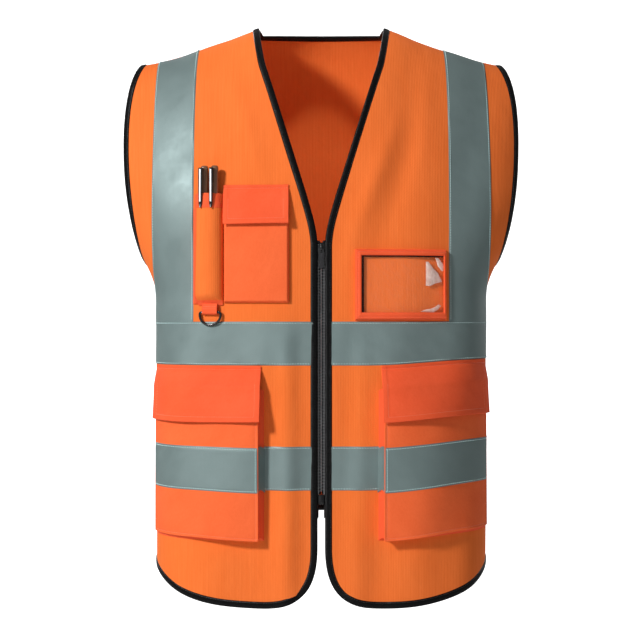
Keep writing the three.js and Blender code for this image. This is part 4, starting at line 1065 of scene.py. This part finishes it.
def bellows(name, hand):
    """A bellows pocket: its face, the reflective strip over it, the pleated gusset and the flap."""
    body = f"front_{name}"
    inner_x, outer_x = BELLOWS_X, BELLOWS_END_X
    xs = across(inner_x, math.asin(outer_x / WAIST_HALF_WIDTH) * 2 / math.pi, 52)
    by_edges = [inner_x + 0.7, inner_x + 1.6, inner_x + 2.6, outer_x - 1.0, outer_x - 2.0]
    xs = np.unique(np.concatenate([xs, by_edges]))
    zs = lines(*BELLOWS_Z, 3.0, (BELLOWS_Z[0] + 2.5, BELLOWS_Z[1] - 9))
    x, z = np.meshgrid(xs, zs)
    edge = np.minimum(np.minimum(x - inner_x, outer_x - x), z - BELLOWS_Z[0])
    pinch = 0.5 * np.exp(-np.square(edge / 1.6)) - 0.35 * np.exp(-np.square((edge - 2.5) / 0.7))
    hem = 0.5 * smooth((z - BELLOWS_Z[1] + 9) / 1.0)
    lift = bellows_lift(x, z)
    down = z - sag(x, z)
    part, outer, up = layer(-1, x * hand, down, lift, lift + CLOTH + pinch + hem, coords_at(-1, x * hand, z))
    make(f"bellows_front_{name}", part, POCKET, body, [f"bellows_face_{name}"])
    keep = zs < BELLOWS_Z[1] - 1
    column = nearest(xs, inner_x + 2.6)
    sew((body, "orange"), outer[keep, column], up[keep, column], **CLOTH_STITCH)
    row = nearest(zs, BELLOWS_Z[0] + 2.5)
    sew((body, "orange"), outer[row], up[row], **CLOTH_STITCH)

    band = edge_rows(LOWER_BAND_TOP - TAPE_WIDTH, LOWER_BAND_TOP)
    x, z = np.meshgrid(xs[1:-1], band)
    press = np.minimum(z - band[0], band[-1] - z)
    sunk = 0.28 * np.exp(-np.square((press - EDGE_IN) / 0.9)) + 0.4 * np.exp(-press / 0.35)
    ripple = 0.25 * np.sin(x / 15.0 - z / 19.0)
    lift = bellows_lift(x, z)
    part, top, up = layer(-1, x * hand, z - sag(x, z), lift + 0.9, lift + TAPE_OUT + 0.1 - sunk + ripple,
                          coords_at(-1, x * hand, z))
    make(f"bellows_band_{name}", part, SILVER, body, [f"bellows_tape_{name}"])
    for row in (3, len(band) - 4):
        sew((body, "tape"), top[row], up[row], **TAPE_STITCH)
    sew((body, "tape"), top[3:-3, 2] + up[3:-3, 2] * 0.1, up[3:-3, 2], **TAPE_STITCH)

    def run(x_in, x_out, low):
        """Down the inner side, across the bottom and up the outer side."""
        down_side = np.stack([np.full(60, x_in), np.linspace(BELLOWS_Z[1], low, 60)], -1)
        along = np.stack([np.linspace(x_in, x_out, 50)[1:-1], np.full(48, low)], -1)
        return np.concatenate([down_side, along, down_side[::-1] * (0, 1) + (x_out, 0)])

    rim = run(inner_x + 0.5, outer_x - 0.5, BELLOWS_Z[0] + 0.5)
    foot = run(inner_x - 5.5, outer_x + 2.4, BELLOWS_Z[0] - 4)
    share = np.linspace(0, 1, 11)[None, :, None]
    spot = rim[:, None] * (1 - share) + foot[:, None] * share
    middle = np.array([(inner_x + outer_x) / 2, BELLOWS_Z[1] + 60])
    spot = spot + unit(middle - rim)[:, None] * PLEAT_DEPTH * np.sin(math.pi * share)
    face = bellows_lift(spot[:, 0, 0], spot[:, 0, 1])[:, None]
    lift = mix(face + 0.4, 1.3, share[..., 0])
    hang = sag(spot[..., 0], spot[..., 1]) * (1 - share[..., 0])
    points, _ = place(-1, spot[..., 0] * hand, spot[..., 1] - hang, lift)
    along = lengths(rim)
    coords = np.stack(np.broadcast_arrays(share[..., 0] * 18, along[:, None], 0.0), -1)
    make(f"bellows_side_{name}", shell(points, 0.8, coords, -hand), WOVEN, body,
         [f"bellows_gusset_{name}"])

    height = points[:, 0, 2]
    strip = (np.arange(len(points)) < 60) & (height < LOWER_BAND_TOP) & (height > LOWER_BAND_TOP - 53)
    over, side_way = points[strip], np.array([-hand, -0.5, 0.0])
    part = thick(over + side_way * 1.1, over + side_way * 0.3, coords[strip])
    make(f"bellows_side_band_{name}", part, SILVER, body)

    flap(f"bellows_lid_{name}", f"bellows_flap_{name}", f"lower_flap_{name}", body,
         ((inner_x - 2) * hand, 191.6 * hand), FLAP_Z, bellows_lift, 1.6, (-412.0, -428.0))


def patch(name, node, body, x, z, low, high):
    """A pad of hook or loop tape between two lifts."""
    xs, zs = np.linspace(x - 12.5, x + 12.5, 14), np.linspace(z - 8, z + 8, 10)
    gx, gz = np.meshgrid(xs, zs)
    make(name, layer(-1, gx, gz, low(gx, gz), high(gx, gz))[0], HOOK, body, [node])


for name, hand in HANDS.items():
    bellows(name, hand)
    spot = (112.0 * hand, FLAP_Z[0] + 16)
    patch(f"bellows_loop_{name}", f"bellows_loop_patch_{name}", f"front_{name}", *spot,
          lambda x, z: bellows_lift(x, z) + 1.3, lambda x, z: bellows_lift(x, z) + 2.2)
    patch(f"bellows_hook_{name}", f"bellows_hook_patch_{name}", f"lower_flap_{name}", *spot,
          lambda x, z: flap_rise(x, z, FLAP_Z[1], FLAP_Z[0], bellows_lift(x, z), 20.0) - 0.9,
          lambda x, z: flap_rise(x, z, FLAP_Z[1], FLAP_Z[0], bellows_lift(x, z), 20.0) + 0.1)


# ---------------------------------------------------------------- chest pockets
def patch_pocket(name, node, x_range, z_range, lift_at, finish):
    """A patch pocket, open at its top, sewn down round the other three edges."""
    near = (-1.2, -0.6, 0, 0.8, 2.0, 3.6)
    xs = lines(*x_range, 2.2, (x_range[0] + 1.6, x_range[1] - 1.6), near)
    zs = lines(*z_range, 2.2, (z_range[0] + 1.6,), near)
    x, z = np.meshgrid(xs, zs)
    lift = lift_at(x, z)
    hem = 0.45 * smooth(z - z_range[1] + 11)
    part, _, _ = layer(-1, x, z, lift, lift + CLOTH + hem)
    make(name, part, finish, "front_right", [node])


def phone_lift(x, z):
    edge = np.minimum(np.minimum(x - PHONE_X[0], PHONE_X[1] - x), z - PHONE_Z[0])
    full = PHONE_DEPTH - 4.6 + 0.8 * bump(x, z, -74, -285, 26, 40)
    full = full * mix(1.0, 0.5, smooth((z - PHONE_Z[1] + 24) / 24))
    return 1.3 + full * smooth((edge + 0.4) / 2.6) ** 0.6


def pen_lift(x, z):
    middle, half = sum(PEN_POCKET_X) / 2, (PEN_POCKET_X[1] - PEN_POCKET_X[0]) / 2
    arch = np.sqrt(np.maximum(0, 1 - np.square((x - middle) / half)))
    foot = smooth((z - PEN_POCKET_Z[0] + 0.5) / 12) ** 0.6
    return 1.3 + (PEN_DEPTH - 1.3) * arch * foot


patch_pocket("phone_pouch", "phone_pocket", PHONE_X, PHONE_Z, phone_lift, POCKET)
patch_pocket("pen_pouch", "pen_pocket", PEN_POCKET_X, PEN_POCKET_Z, pen_lift, KNIT)
for edge_x in (PHONE_X[1] - 0.9, PHONE_X[0] + 0.9):
    height = np.linspace(PHONE_Z[0] + 1, PHONE_Z[1], 40)
    sew_line(("front_right", "orange"), -1, edge_x, height, 3.4, CLOTH_STITCH)
foot_x = np.linspace(*PHONE_X, 40)
sew_line(("front_right", "orange"), -1, foot_x, PHONE_Z[0] + 0.9, 3.4, CLOTH_STITCH)


def trim(name, x_range, z_range, lift_at):
    """A strip of woven trim laid over a pocket's edge."""
    x, z = np.meshgrid(lines(*x_range, 1.4, ()), lines(*z_range, 1.4, ()))
    edge = np.minimum.reduce([x - x_range[0], x_range[1] - x, z - z_range[0], z_range[1] - z])
    lift = lift_at(x, z)
    part, _, _ = layer(-1, x, z, lift + 0.5, lift + CLOTH + 0.55 * smooth((edge + 0.5) / 1.2) + 0.1)
    make(name, part, WOVEN, "front_right")


trim("pen_hem", (PEN_POCKET_X[0] + 0.2, PEN_POCKET_X[1] - 0.2), (-229.0, PEN_POCKET_Z[1] + 0.4), pen_lift)
trim("pen_side_trim", (PEN_POCKET_X[0] - 2.0, PEN_POCKET_X[0] + 4.4), (-338.5, -229.5),
     lambda x, z: pen_lift(np.maximum(x, PEN_POCKET_X[0]), z))
trim("pen_foot_trim", (PEN_POCKET_X[0] + 4.6, PEN_POCKET_X[1] - 0.2), (-340.0, -334.5),
     lambda x, z: pen_lift(x, np.maximum(z, PEN_POCKET_Z[0])))

flap("phone_lid", "phone_flap", "chest_flap", "front_right", (PHONE_X[0] - 0.8, PHONE_X[1] - 0.6),
     PHONE_FLAP_Z, lambda x, z: np.full_like(x, PHONE_FACE), 0.0, (-204.0, -216.0), PHONE_FLAP_RUN, 1.0)
PHONE_SPOT = (sum(PHONE_X) / 2, PHONE_FLAP_Z[0] + 14)
patch("phone_loop", "phone_loop_patch", "front_right", *PHONE_SPOT,
      lambda x, z: phone_lift(x, z) + 1.0, lambda x, z: phone_lift(x, z) + 2.3)
patch("phone_hook", "phone_hook_patch", "chest_flap", *PHONE_SPOT,
      lambda x, z: flap_rise(x, z, PHONE_FLAP_Z[1], PHONE_FLAP_Z[0], PHONE_FACE, PHONE_FLAP_RUN) - 0.9,
      lambda x, z: flap_rise(x, z, PHONE_FLAP_Z[1], PHONE_FLAP_Z[0], PHONE_FACE, PHONE_FLAP_RUN) + 0.1)


# ---------------------------------------------------------------- pens
def pen(index, x):
    """A ballpoint in the pen pocket: its turned barrel, a bent clip and the clip's bright inlay."""
    middle_z = (PEN_MOUTH_Z + PEN_POCKET_Z[0]) / 2
    (upper, lower), _ = place(-1, np.array([x, x]), np.array([middle_z + 50, middle_z - 50]), PEN_LIFT)
    _, facing = place(-1, x, middle_z, PEN_LIFT)
    axis = unit(upper - lower)
    out = unit(facing - axis * np.dot(facing, axis))
    aside = np.cross(out, axis)
    aside *= np.sign(aside[0])
    centre = (upper + lower) / 2
    top = PEN_TOP - middle_z

    def turned(profile, sides=28):
        angle = np.arange(sides) * 2 * math.pi / sides
        ring = np.cos(angle)[:, None] * aside + np.sin(angle)[:, None] * out
        radius, height = np.array(profile)[:, 0], np.array(profile)[:, 1] + top
        verts = centre + axis * height[:, None, None] + ring[None] * radius[:, None, None]
        n = len(profile)
        faces = [tuple(q) for q in grid_quads(n, sides, False, True).tolist()]
        faces += [tuple(range(sides)), tuple(range((n - 1) * sides, n * sides))[::-1]]
        return as_mesh(verts.reshape(-1, 3), faces)

    r, tip = PEN_RADIUS, -PEN_LENGTH
    barrel = [(0.5, tip), (1.2, tip + 0.5), (1.5, tip + 4), (r - 0.4, tip + 14), (r, tip + 18),
              (r, -56.2), (r - 0.35, -56), (r - 0.35, -55.4), (r, -55.2), (r, -3.2),
              (r - 0.15, -2.2), (r - 0.6, -1.2), (r - 1.2, -0.5), (r - 2.0, -0.12), (r - 3.0, 0)]
    make(f"pen_{index}_barrel", turned(barrel), PEN_PLASTIC_PAINTED_REFLECTION, f"pen_{index}",
         [f"pen_barrel_{index}"], sharp=55)
    height = np.array([-3.6, -3.4, -3.2, -3.4, -5.0, -9, -16, -24, -32, -40, -45, -47.5, -49.0])
    off = np.array([3.6, 5.4, 7.2, 8.4, 8.9, 9.0, 8.9, 8.8, 8.7, 8.6, 8.5, 8.8, 9.2])
    wide = np.array([2.4, 2.4, 2.4, 2.4, 2.4, 2.4, 2.4, 2.3, 2.2, 2.1, 1.9, 1.2, 0.4])
    share = np.linspace(0, len(height) - 1, 60)
    h, b, w = (np.interp(share, np.arange(len(height)), a) for a in (height, off, wide))
    path = centre + axis * (top + h)[:, None] + out * b[:, None] - aside * 1.9
    along = unit(np.gradient(path, axis=0))
    face = np.cross(np.broadcast_to(aside, along.shape), along)
    shape = ellipse(1.0, 0.5, 14, 0.7)[None] * np.stack([w, np.ones_like(w)], -1)[:, None]
    make(f"pen_{index}_clip", tube(path, np.broadcast_to(aside, path.shape), face, shape), PLASTIC,
         f"pen_{index}", [f"pen_clip_{index}"])
    part = slice(20, 47)
    slim = ellipse(1.05, 0.45, 12, 0.8)
    lay = face * np.sign(face @ out)[:, None]
    make(f"pen_{index}_inlay", tube(path[part] + lay[part] * 0.75, np.broadcast_to(aside, path[part].shape),
                                    lay[part], slim), CHROME, f"pen_{index}")


for index, x in enumerate(PEN_X):
    pen(index + 1, x)


# ---------------------------------------------------------------- D-ring and its tab
def d_ring():
    """The wire ring and the folded tab that holds it."""
    (seat,), (facing,) = place(-1, np.array([-126.5]), np.array([-348.0]), 4.2)
    aside = unit(np.array([-facing[1], facing[0], 0.0]))
    out = np.array([aside[1], -aside[0], 0.0])
    up = np.array([0, 0, 1.0])
    half, corner, low = 14 - 1.3, 3.0, -14.5 * 1.28
    path = np.concatenate([
        np.stack([np.linspace(-half + corner, half - corner, 16), np.zeros(16)], -1),
        bezier((half - corner, 0), (half - 1, 0), (half, -1), (half, -corner), 9)[1:],
        bezier((half, -corner), (half, low), (-half, low), (-half, -corner), 50)[1:],
        bezier((-half, -corner), (-half, -1), (-half + 1, 0), (-half + corner, 0), 9)[1:-1],
    ])
    centres = seat + aside * path[:, :1] + up * path[:, 1:]
    along = unit(np.roll(centres, -1, 0) - np.roll(centres, 1, 0))
    facing = np.broadcast_to(out, centres.shape)
    make("d_ring_bow", tube(centres, np.cross(along, out), facing, ellipse(1.45, 1.45, 16), True),
         METAL, "ring", ["d_ring"])
    bore = 1.3 + 0.3 + 0.45
    turn = np.linspace(0, math.pi, 16)
    strand = np.concatenate([
        [(-1.6, 9.2), (-bore * 0.98, 7.0), (-bore, 3.5)],
        np.stack([-bore * np.cos(turn), -bore * np.sin(turn)], -1),
        [(bore, 3.0), (bore * 0.92, 5.5), (bore * 0.62, 7.4), (0.9, 8.6), (0.5, 9.6)],
    ])
    wide = np.linspace(-9, 9, 12)
    points = seat + out * strand[:, None, :1] + up * strand[:, None, 1:] + aside * wide[None, :, None]
    along = lengths(strand)
    coords = np.stack(np.broadcast_arrays(wide[None, :], along[:, None], 0.0), -1)
    make("ring_tab", shell(points, 0.9, coords, 1), WOVEN, "front_right", ["d_ring_tab"])
    for height in (4.2, 6.4):
        middle = seat + out * (bore + 0.75 - height * 0.05) + up * height
        level = middle + aside * np.linspace(-8, 8, 12)[:, None]
        sew(("front_right", "orange"), level, np.broadcast_to(out, level.shape), 2.6, 0.24)


d_ring()


# ---------------------------------------------------------------- card window
def loop_between(outer, inner, counts, across):
    """Places from an outer to an inner rectangle (x0, x1, z0, z1), going round."""
    def around(box):
        x0, x1, z0, z1 = box
        corners = [(x0, z0), (x1, z0), (x1, z1), (x0, z1), (x0, z0)]
        runs = [np.linspace(corners[i], corners[i + 1], counts[i % 2] + 1)[:-1] for i in range(4)]
        return np.concatenate(runs)

    share = np.asarray(across)[None, :, None]
    return around(outer)[:, None] * (1 - share) + around(inner)[:, None] * share


def film_lift(x, z):
    """The film lies in shallow waves, creased where a card has bent it."""
    lift = 4.2 + 0.2 * np.sin(x / 9.0 + z / 31.0) - 0.6 * bump(x, z, 97, -318, 1.5, 30, 0.05)
    return lift - 0.5 * bump(x, z, 103, -318, 1.2, 26, -0.03) + 0.9 * bump(x, z, 126, -302, 8, 10)


def card_window():
    """The bound frame, the clear film, pale patches on the film painted as its glare (painted highlight) and
    black strips along two inner edges painted as the frame's shadow (painted shadow).
    """
    outer_box = (*CARD_X, *CARD_Z)
    across = [0, 0.06, 0.14, 0.26, 0.36, 0.42, 0.5, 0.62, 0.76, 0.88, 0.96, 1.0]
    rise = np.array([1.4, 3.6, 5.6, 6.7, 6.9, 6.5, 6.9, 7.3, 7.5, 7.4, 7.0, 6.2])
    spot = loop_between(outer_box, CARD_INNER, (60, 46), across)
    x, z = spot[..., 0], spot[..., 1]
    part, outer, up = layer(-1, x, z, np.broadcast_to(np.maximum(1.0, rise - CLOTH), x.shape),
                            np.broadcast_to(rise, x.shape), wrap_rows=True)
    make("card_frame", part, WOVEN, "front_left", ["card_window_frame"])
    stitch = np.concatenate([outer[:, 5], outer[:1, 5]]), np.concatenate([up[:, 5], up[:1, 5]])
    sew(("front_left", "orange"), *stitch, **CLOTH_STITCH)

    x0, x1, z0, z1 = CARD_INNER
    x, z = np.meshgrid(np.linspace(x0 - 2, x1 + 1.8, 150), np.linspace(z0 - 2, z1 + 2, 110))
    lift = film_lift(x, z)
    film, _, _ = layer(-1, x, z, lift - 0.5, lift)
    make("card_film", film, FILM, "front_left", ["card_window_film"])
    # Pale milky patches laid on the film: painted highlight, standing in for the glare where the film is
    # buckled.
    glare_patches = []
    for outline in (
        [(119, -290), (122, -290), (127, -297), (133, -303), (138, -313), (130, -315), (124, -318),
         (119, -317.5)],
        [(130, -285), (134, -286), (139, -292), (141, -299), (138, -301), (133, -295)],
        [(113, -347.5), (119, -345), (125, -344), (130, -342), (134, -339), (137, -341), (132, -346),
         (128, -348.5)],
    ):
        ring = np.array(outline, float)
        middle = ring.mean(axis=0)
        spot = middle + (ring - middle)[None] * np.array([0.02, 0.35, 0.7, 0.9, 1.0])[:, None, None]
        height = film_lift(spot[..., 0], spot[..., 1]) + np.array([1.0, 0.9, 0.7, 0.4, 0.12])[:, None]
        loop = list(range(len(ring))) + [0]
        spot, height = spot[:, loop], np.broadcast_to(height, spot.shape[:2])[:, loop]
        glare_patches.append(layer(-1, spot[..., 0], spot[..., 1], height - 0.1, height)[0])
    make("card_film_painted_glare", joined(glare_patches), GLARE_PATCH_FILM, "front_left", sharp=30)
    # Black strips under the frame's inner left and top edges: painted shadow of the frame's lip.
    for name, xs, zs in (
        ("card_painted_shadow_side", (x0 - 1.5, x0 + 2.3, 12), (z0 - 1, z1 + 1, 60)),
        ("card_painted_shadow_top", (x0 - 1.5, x1 + 1, 60), (z1 - 1.3, z1 + 1.5, 12)),
    ):
        x, z = np.meshgrid(np.linspace(*xs), np.linspace(*zs))
        make(name, layer(-1, x, z, 2.6, 3.9)[0], BINDING, "front_left")


card_window()


# ---------------------------------------------------------------- zip
def zip_y(lift):
    """The flat plane that stands off the form's front by lift."""
    return -FRONT_DEPTH - lift - NAPE[1]


CHAIN_BOTTOM, ZIP_SEAM_X = CHAIN_TOP - TEETH * TOOTH_PITCH, 9.6
TOOTH = [(-1.05, -0.45), (-0.75, -0.72), (0.5, -0.72), (1.1, -0.42), (1.9, -0.42), (2.5, -0.95), (4.4, -0.95),
         (4.4, 0.95), (2.5, 0.95), (1.9, 0.42), (1.1, 0.42), (0.5, 0.72), (-0.75, 0.72), (-1.05, 0.45)]


def flat_strip(x, z, back, front, swell=0.0):
    """Zip tape between two lifts, flat across the front."""
    outer = np.stack([x, np.full_like(x, zip_y(front)) - swell, z], -1)
    inner = np.stack([x, np.full_like(x, zip_y(back)), z], -1)
    return thick(outer, inner, np.stack([x, z, x * 0], -1))


def zip_side(name, hand):
    """One half of the zip: teeth on their cord, tape, the tape behind the teeth and the top stop."""
    body = f"front_{name}"
    start, first = (CHAIN_TOP, 0) if hand > 0 else (CHAIN_TOP - TOOTH_PITCH / 2, 3)
    outline = TOOTH if hand > 0 else [(-x, z) for x, z in TOOTH]
    tooth = bevelled(outline, zip_y(CHAIN_LIFT + 1.6), zip_y(CHAIN_LIFT - 1.5), 0.36)
    teeth = [moved(tooth, (0, 0, start - i * TOOTH_PITCH - 0.875)) for i in range(first, TEETH - 1)]
    cord_z = np.linspace(CHAIN_TOP, CHAIN_BOTTOM, 40)
    cord = np.stack([np.full(40, hand * 3.3), np.full(40, zip_y(CHAIN_LIFT)), cord_z], -1)
    unit = np.eye(3)
    spine = tube(cord, np.tile(unit[0], (40, 1)), np.tile(unit[1], (40, 1)), ellipse(0.7, 0.9, 10))
    make(f"zip_chain_{name}", joined(teeth + [spine]), TEETH_PAINTED_GLINTS, body,
         [f"zip_teeth_{name}"], sharp=30)
    x, z = np.meshgrid(np.linspace(3.2, 14.6, 14) * hand, np.linspace(-584, -266, 120))
    swell = 0.35 * np.exp(-np.square((np.abs(x) - 4.6) / 0.8))
    ribbon = flat_strip(x, z, CHAIN_LIFT - 0.4, CHAIN_LIFT + 0.4, swell)
    make(f"zip_ribbon_{name}", ribbon, ZIP_CLOTH, body, [f"zip_tape_{name}"])
    x, z = np.meshgrid(np.linspace(0.25, 4.2, 6) * hand, np.linspace(CHAIN_BOTTOM, -268, 90))
    backing = flat_strip(x, z, CHAIN_LIFT - 2.2, CHAIN_LIFT - 1.7)
    make(f"zip_backing_{name}", backing, ZIP_CLOTH, body)
    x0, x1 = sorted((hand * 1.4, hand * 4.0))
    stop = slab(x0, x1, zip_y(CHAIN_LIFT + 1.3), zip_y(CHAIN_LIFT - 1.3), -268.7, -266.2, 0.5, 3)
    make(f"zip_stop_{name}", stop, PLASTIC, body, [f"zip_top_stop_{name}"])


def rounded(x0, x1, z0, z1, radius, count=6):
    """A rectangle's outline with round corners."""
    points = []
    for cx, cz, start in ((x1 - radius, z1 - radius, 0), (x0 + radius, z1 - radius, 1),
                          (x0 + radius, z0 + radius, 2), (x1 - radius, z0 + radius, 3)):
        for k in range(count + 1):
            angle = (start + k / count) * math.pi / 2
            points.append((cx + radius * math.cos(angle), cz + radius * math.sin(angle)))
    return points


def zip_fittings():
    """The slider and its pull, the box at the bottom and the pin that goes into it."""
    front, back = CHAIN_LIFT + 1.5, CHAIN_LIFT - 1.5
    top, bottom = -269.0, -280.0
    plate = [(-4.1, top - 2.2), (-3.0, top - 0.4), (0, top), (3.0, top - 0.4), (4.1, top - 2.2),
             (4.1, bottom + 1.6), (3.2, bottom + 0.3), (0, bottom), (-3.2, bottom + 0.3),
             (-4.1, bottom + 1.6)]
    parts = [
        bevelled(plate, zip_y(front + 0.3), zip_y(front + 1.5), 0.35, 3),
        bevelled(plate, zip_y(back - 1.5), zip_y(back - 0.3), 0.35, 3),
        slab(-2.2, -1.3, zip_y(back - 0.6), zip_y(front + 0.6), -276.7, top - 0.6, 0.1),
        slab(3.55, 4.1, zip_y(front - 0.7), zip_y(front + 0.9), bottom + 1, top - 2.4, 0.15),
        slab(3.55, 4.1, zip_y(back - 0.9), zip_y(back + 0.7), bottom + 1, top - 2.4, 0.15),
    ]
    turn = np.linspace(0, math.pi, 18)
    arch_z = -274.0 + 3.4 * np.cos(turn)
    arch_y = zip_y(front + 1.2 + 2.6 * np.sin(turn) ** 0.6)
    path = np.stack([np.zeros(18), arch_y, arch_z], -1)
    along = unit(np.gradient(path, axis=0))
    aside = np.tile([1.0, 0, 0], (18, 1))
    parts.append(tube(path, aside, np.cross(along, aside), ellipse(1.0, 0.45, 12, 0.8)))
    make("slider_body", joined(parts), METAL, "slider", ["zip_slider"], sharp=30)

    pivot, length = -275.7, 22.0
    lift = front + 1.5 + 0.85
    tall = pivot + 0.55
    outer = np.array(rounded(-3.0, 3.0, pivot - length, tall, 2.0, 8))
    hole = np.array(rounded(-1.3, 1.3, pivot - 4.5, pivot - 0.55, 0.6, 8))
    make("pull_tab", holed_plate(outer, hole, zip_y(lift + 0.6), zip_y(lift - 0.6)), METAL, "pull",
         ["zip_pull"], sharp=25)
    grip = [slab(-1.9, 1.9, zip_y(lift + 0.82), zip_y(lift + 0.55), z, z + 0.7, 0.12)
            for z in np.arange(pivot - 19.5, pivot - 9, 1.9)]
    make("pull_grip", joined(grip), METAL, "pull", sharp=25)

    box_top = CHAIN_BOTTOM - 0.3
    outline = rounded(-3.4, 3.4, box_top - 11, box_top, 0.9, 4)
    box = bevelled(outline, zip_y(front + 0.3), zip_y(front - 0.6), 0.25)
    rear = bevelled(outline, zip_y(back + 0.1), zip_y(back - 0.9), 0.25)
    cheek = slab(-0.9, 3.35, zip_y(front - 0.5), zip_y(back), box_top - 10.8, box_top - 0.2, 0.2)
    foot = slab(-3.35, 3.35, zip_y(front - 0.5), zip_y(back), box_top - 10.9, box_top - 9.4, 0.2)
    ribs = [slab(-2.4, 2.4, zip_y(front + 0.5), zip_y(front + 0.2), z, z + 0.7, 0.1)
            for z in box_top - np.arange(3, 9, 1.7)]
    make("retaining_box", joined([box, rear, cheek, foot] + ribs), PLASTIC, "front_left",
         ["zip_retaining_box"], sharp=30)
    pin = slab(-3.35, -1.3, zip_y(front - 0.5), zip_y(back + 0.5), box_top - 9, box_top, 0.35, 3)
    make("insertion_pin", pin, PLASTIC, "front_right", ["zip_insertion_pin"])


for name, hand in HANDS.items():
    zip_side(name, hand)
    height = np.linspace(-268, -580, 120)
    sew_line((f"front_{name}", "black"), -1, ZIP_SEAM_X * hand, height, 2.0, BINDING_STITCH)
zip_fittings()

# ---------------------------------------------------------------- stitching as pieces
THREADS = {
    "tape": (TAPE_THREAD, "silver_tape"),
    "orange": (ORANGE_THREAD, "red_orange_cloth"),
    "orange_low": (ORANGE_THREAD, "red_orange_cloth"),
    "black": (BLACK_THREAD, "black_binding"),
}
for (body, kind), rows in SEAMS.items():
    finish, slot = THREADS[kind]
    bend = front_bend(1 if body == "front_left" else -1) if body in ("front_right", "front_left") else None
    make(f"stitches_{body}_{kind}", joined(rows), finish, body, bend=bend, sharp=80, orient=False)


# ---------------------------------------------------------------- stage, lights and camera
def plain(name, colour, glow=0.0):
    material = bpy.data.materials.new(name)
    material.use_nodes = True
    shader = material.node_tree.nodes["Principled BSDF"]
    shader.inputs["Base Color"].default_value = (*colour, 1)
    shader.inputs["Roughness"].default_value = 0.9
    shader.inputs["Emission Color"].default_value = (1, 1, 1, 1)
    shader.inputs["Emission Strength"].default_value = glow
    return material


def stage_disc(name, radius, z, material):
    bm = bmesh.new()
    bmesh.ops.create_circle(bm, cap_ends=True, segments=96, radius=radius)
    mesh = bpy.data.meshes.new(name)
    bm.to_mesh(mesh)
    bm.free()
    mesh.materials.append(material)
    disc = in_scene(name, mesh)
    disc.location = (0, 0, z)


def backdrop(name, half, y, z, material):
    mesh = bpy.data.meshes.new(name)
    corners = [(-half, y, z - half), (half, y, z - half), (half, y, z + half), (-half, y, z + half)]
    mesh.from_pydata(corners, [], [(0, 1, 2, 3)])
    mesh.materials.append(material)
    in_scene(name, mesh)


stage_disc("floor", 1.9, -1.2, plain("pale_floor", (0.86, 0.86, 0.85)))
backdrop("backdrop", 1.35, 3.2, -0.357, plain("white_backdrop", (0.9, 0.9, 0.9), 1.15))


CENTRE = (0, -0.05, -0.35)


def aimed(item, place_at, aim):
    item.location = place_at
    item.rotation_euler = (Vector(aim) - Vector(place_at)).to_track_quat("-Z", "Y").to_euler()


def area_light(name, place_at, aim, size, power):
    data = bpy.data.lights.new(name, "AREA")
    data.shape, data.size, data.size_y = "RECTANGLE", size, size
    data.energy = power
    aimed(in_scene(name, data), place_at, aim)


area_light("key", (-1.7, -1.95, 0.8), (0, -0.05, -0.3), 0.34, 70)
area_light("fill", (-0.6, -2.9, -0.6), CENTRE, 1.2, 3)
spot = bpy.data.lights.new("neck", "SPOT")
spot.energy, spot.spot_size, spot.spot_blend = 90, math.radians(13), 1.0
spot.shadow_soft_size = 0.08
aimed(in_scene("neck", spot), (0, -1.0, 1.6), (0, 0.06, -0.02))
area_light("back_left", (-1.4, 2.2, 0.8), CENTRE, 1.0, 30)
area_light("back_right", (1.8, 1.9, 0.5), CENTRE, 1.0, 12)
world = bpy.data.worlds.new("studio")
world.use_nodes = True
world.node_tree.nodes["Background"].inputs["Color"].default_value = (1, 1, 1, 1)
world.node_tree.nodes["Background"].inputs["Strength"].default_value = 0.22
bpy.context.scene.world = world
bpy.context.scene.view_settings.view_transform = "Standard"

camera = in_scene("camera", bpy.data.cameras.new("camera"))
camera.location = (0, -1.94, -0.357)
camera.rotation_euler = (math.pi / 2, 0, 0)
camera.data.lens = 86.5
camera.data.sensor_width = 36
camera.data.shift_x = -0.002
bpy.context.scene.camera = camera
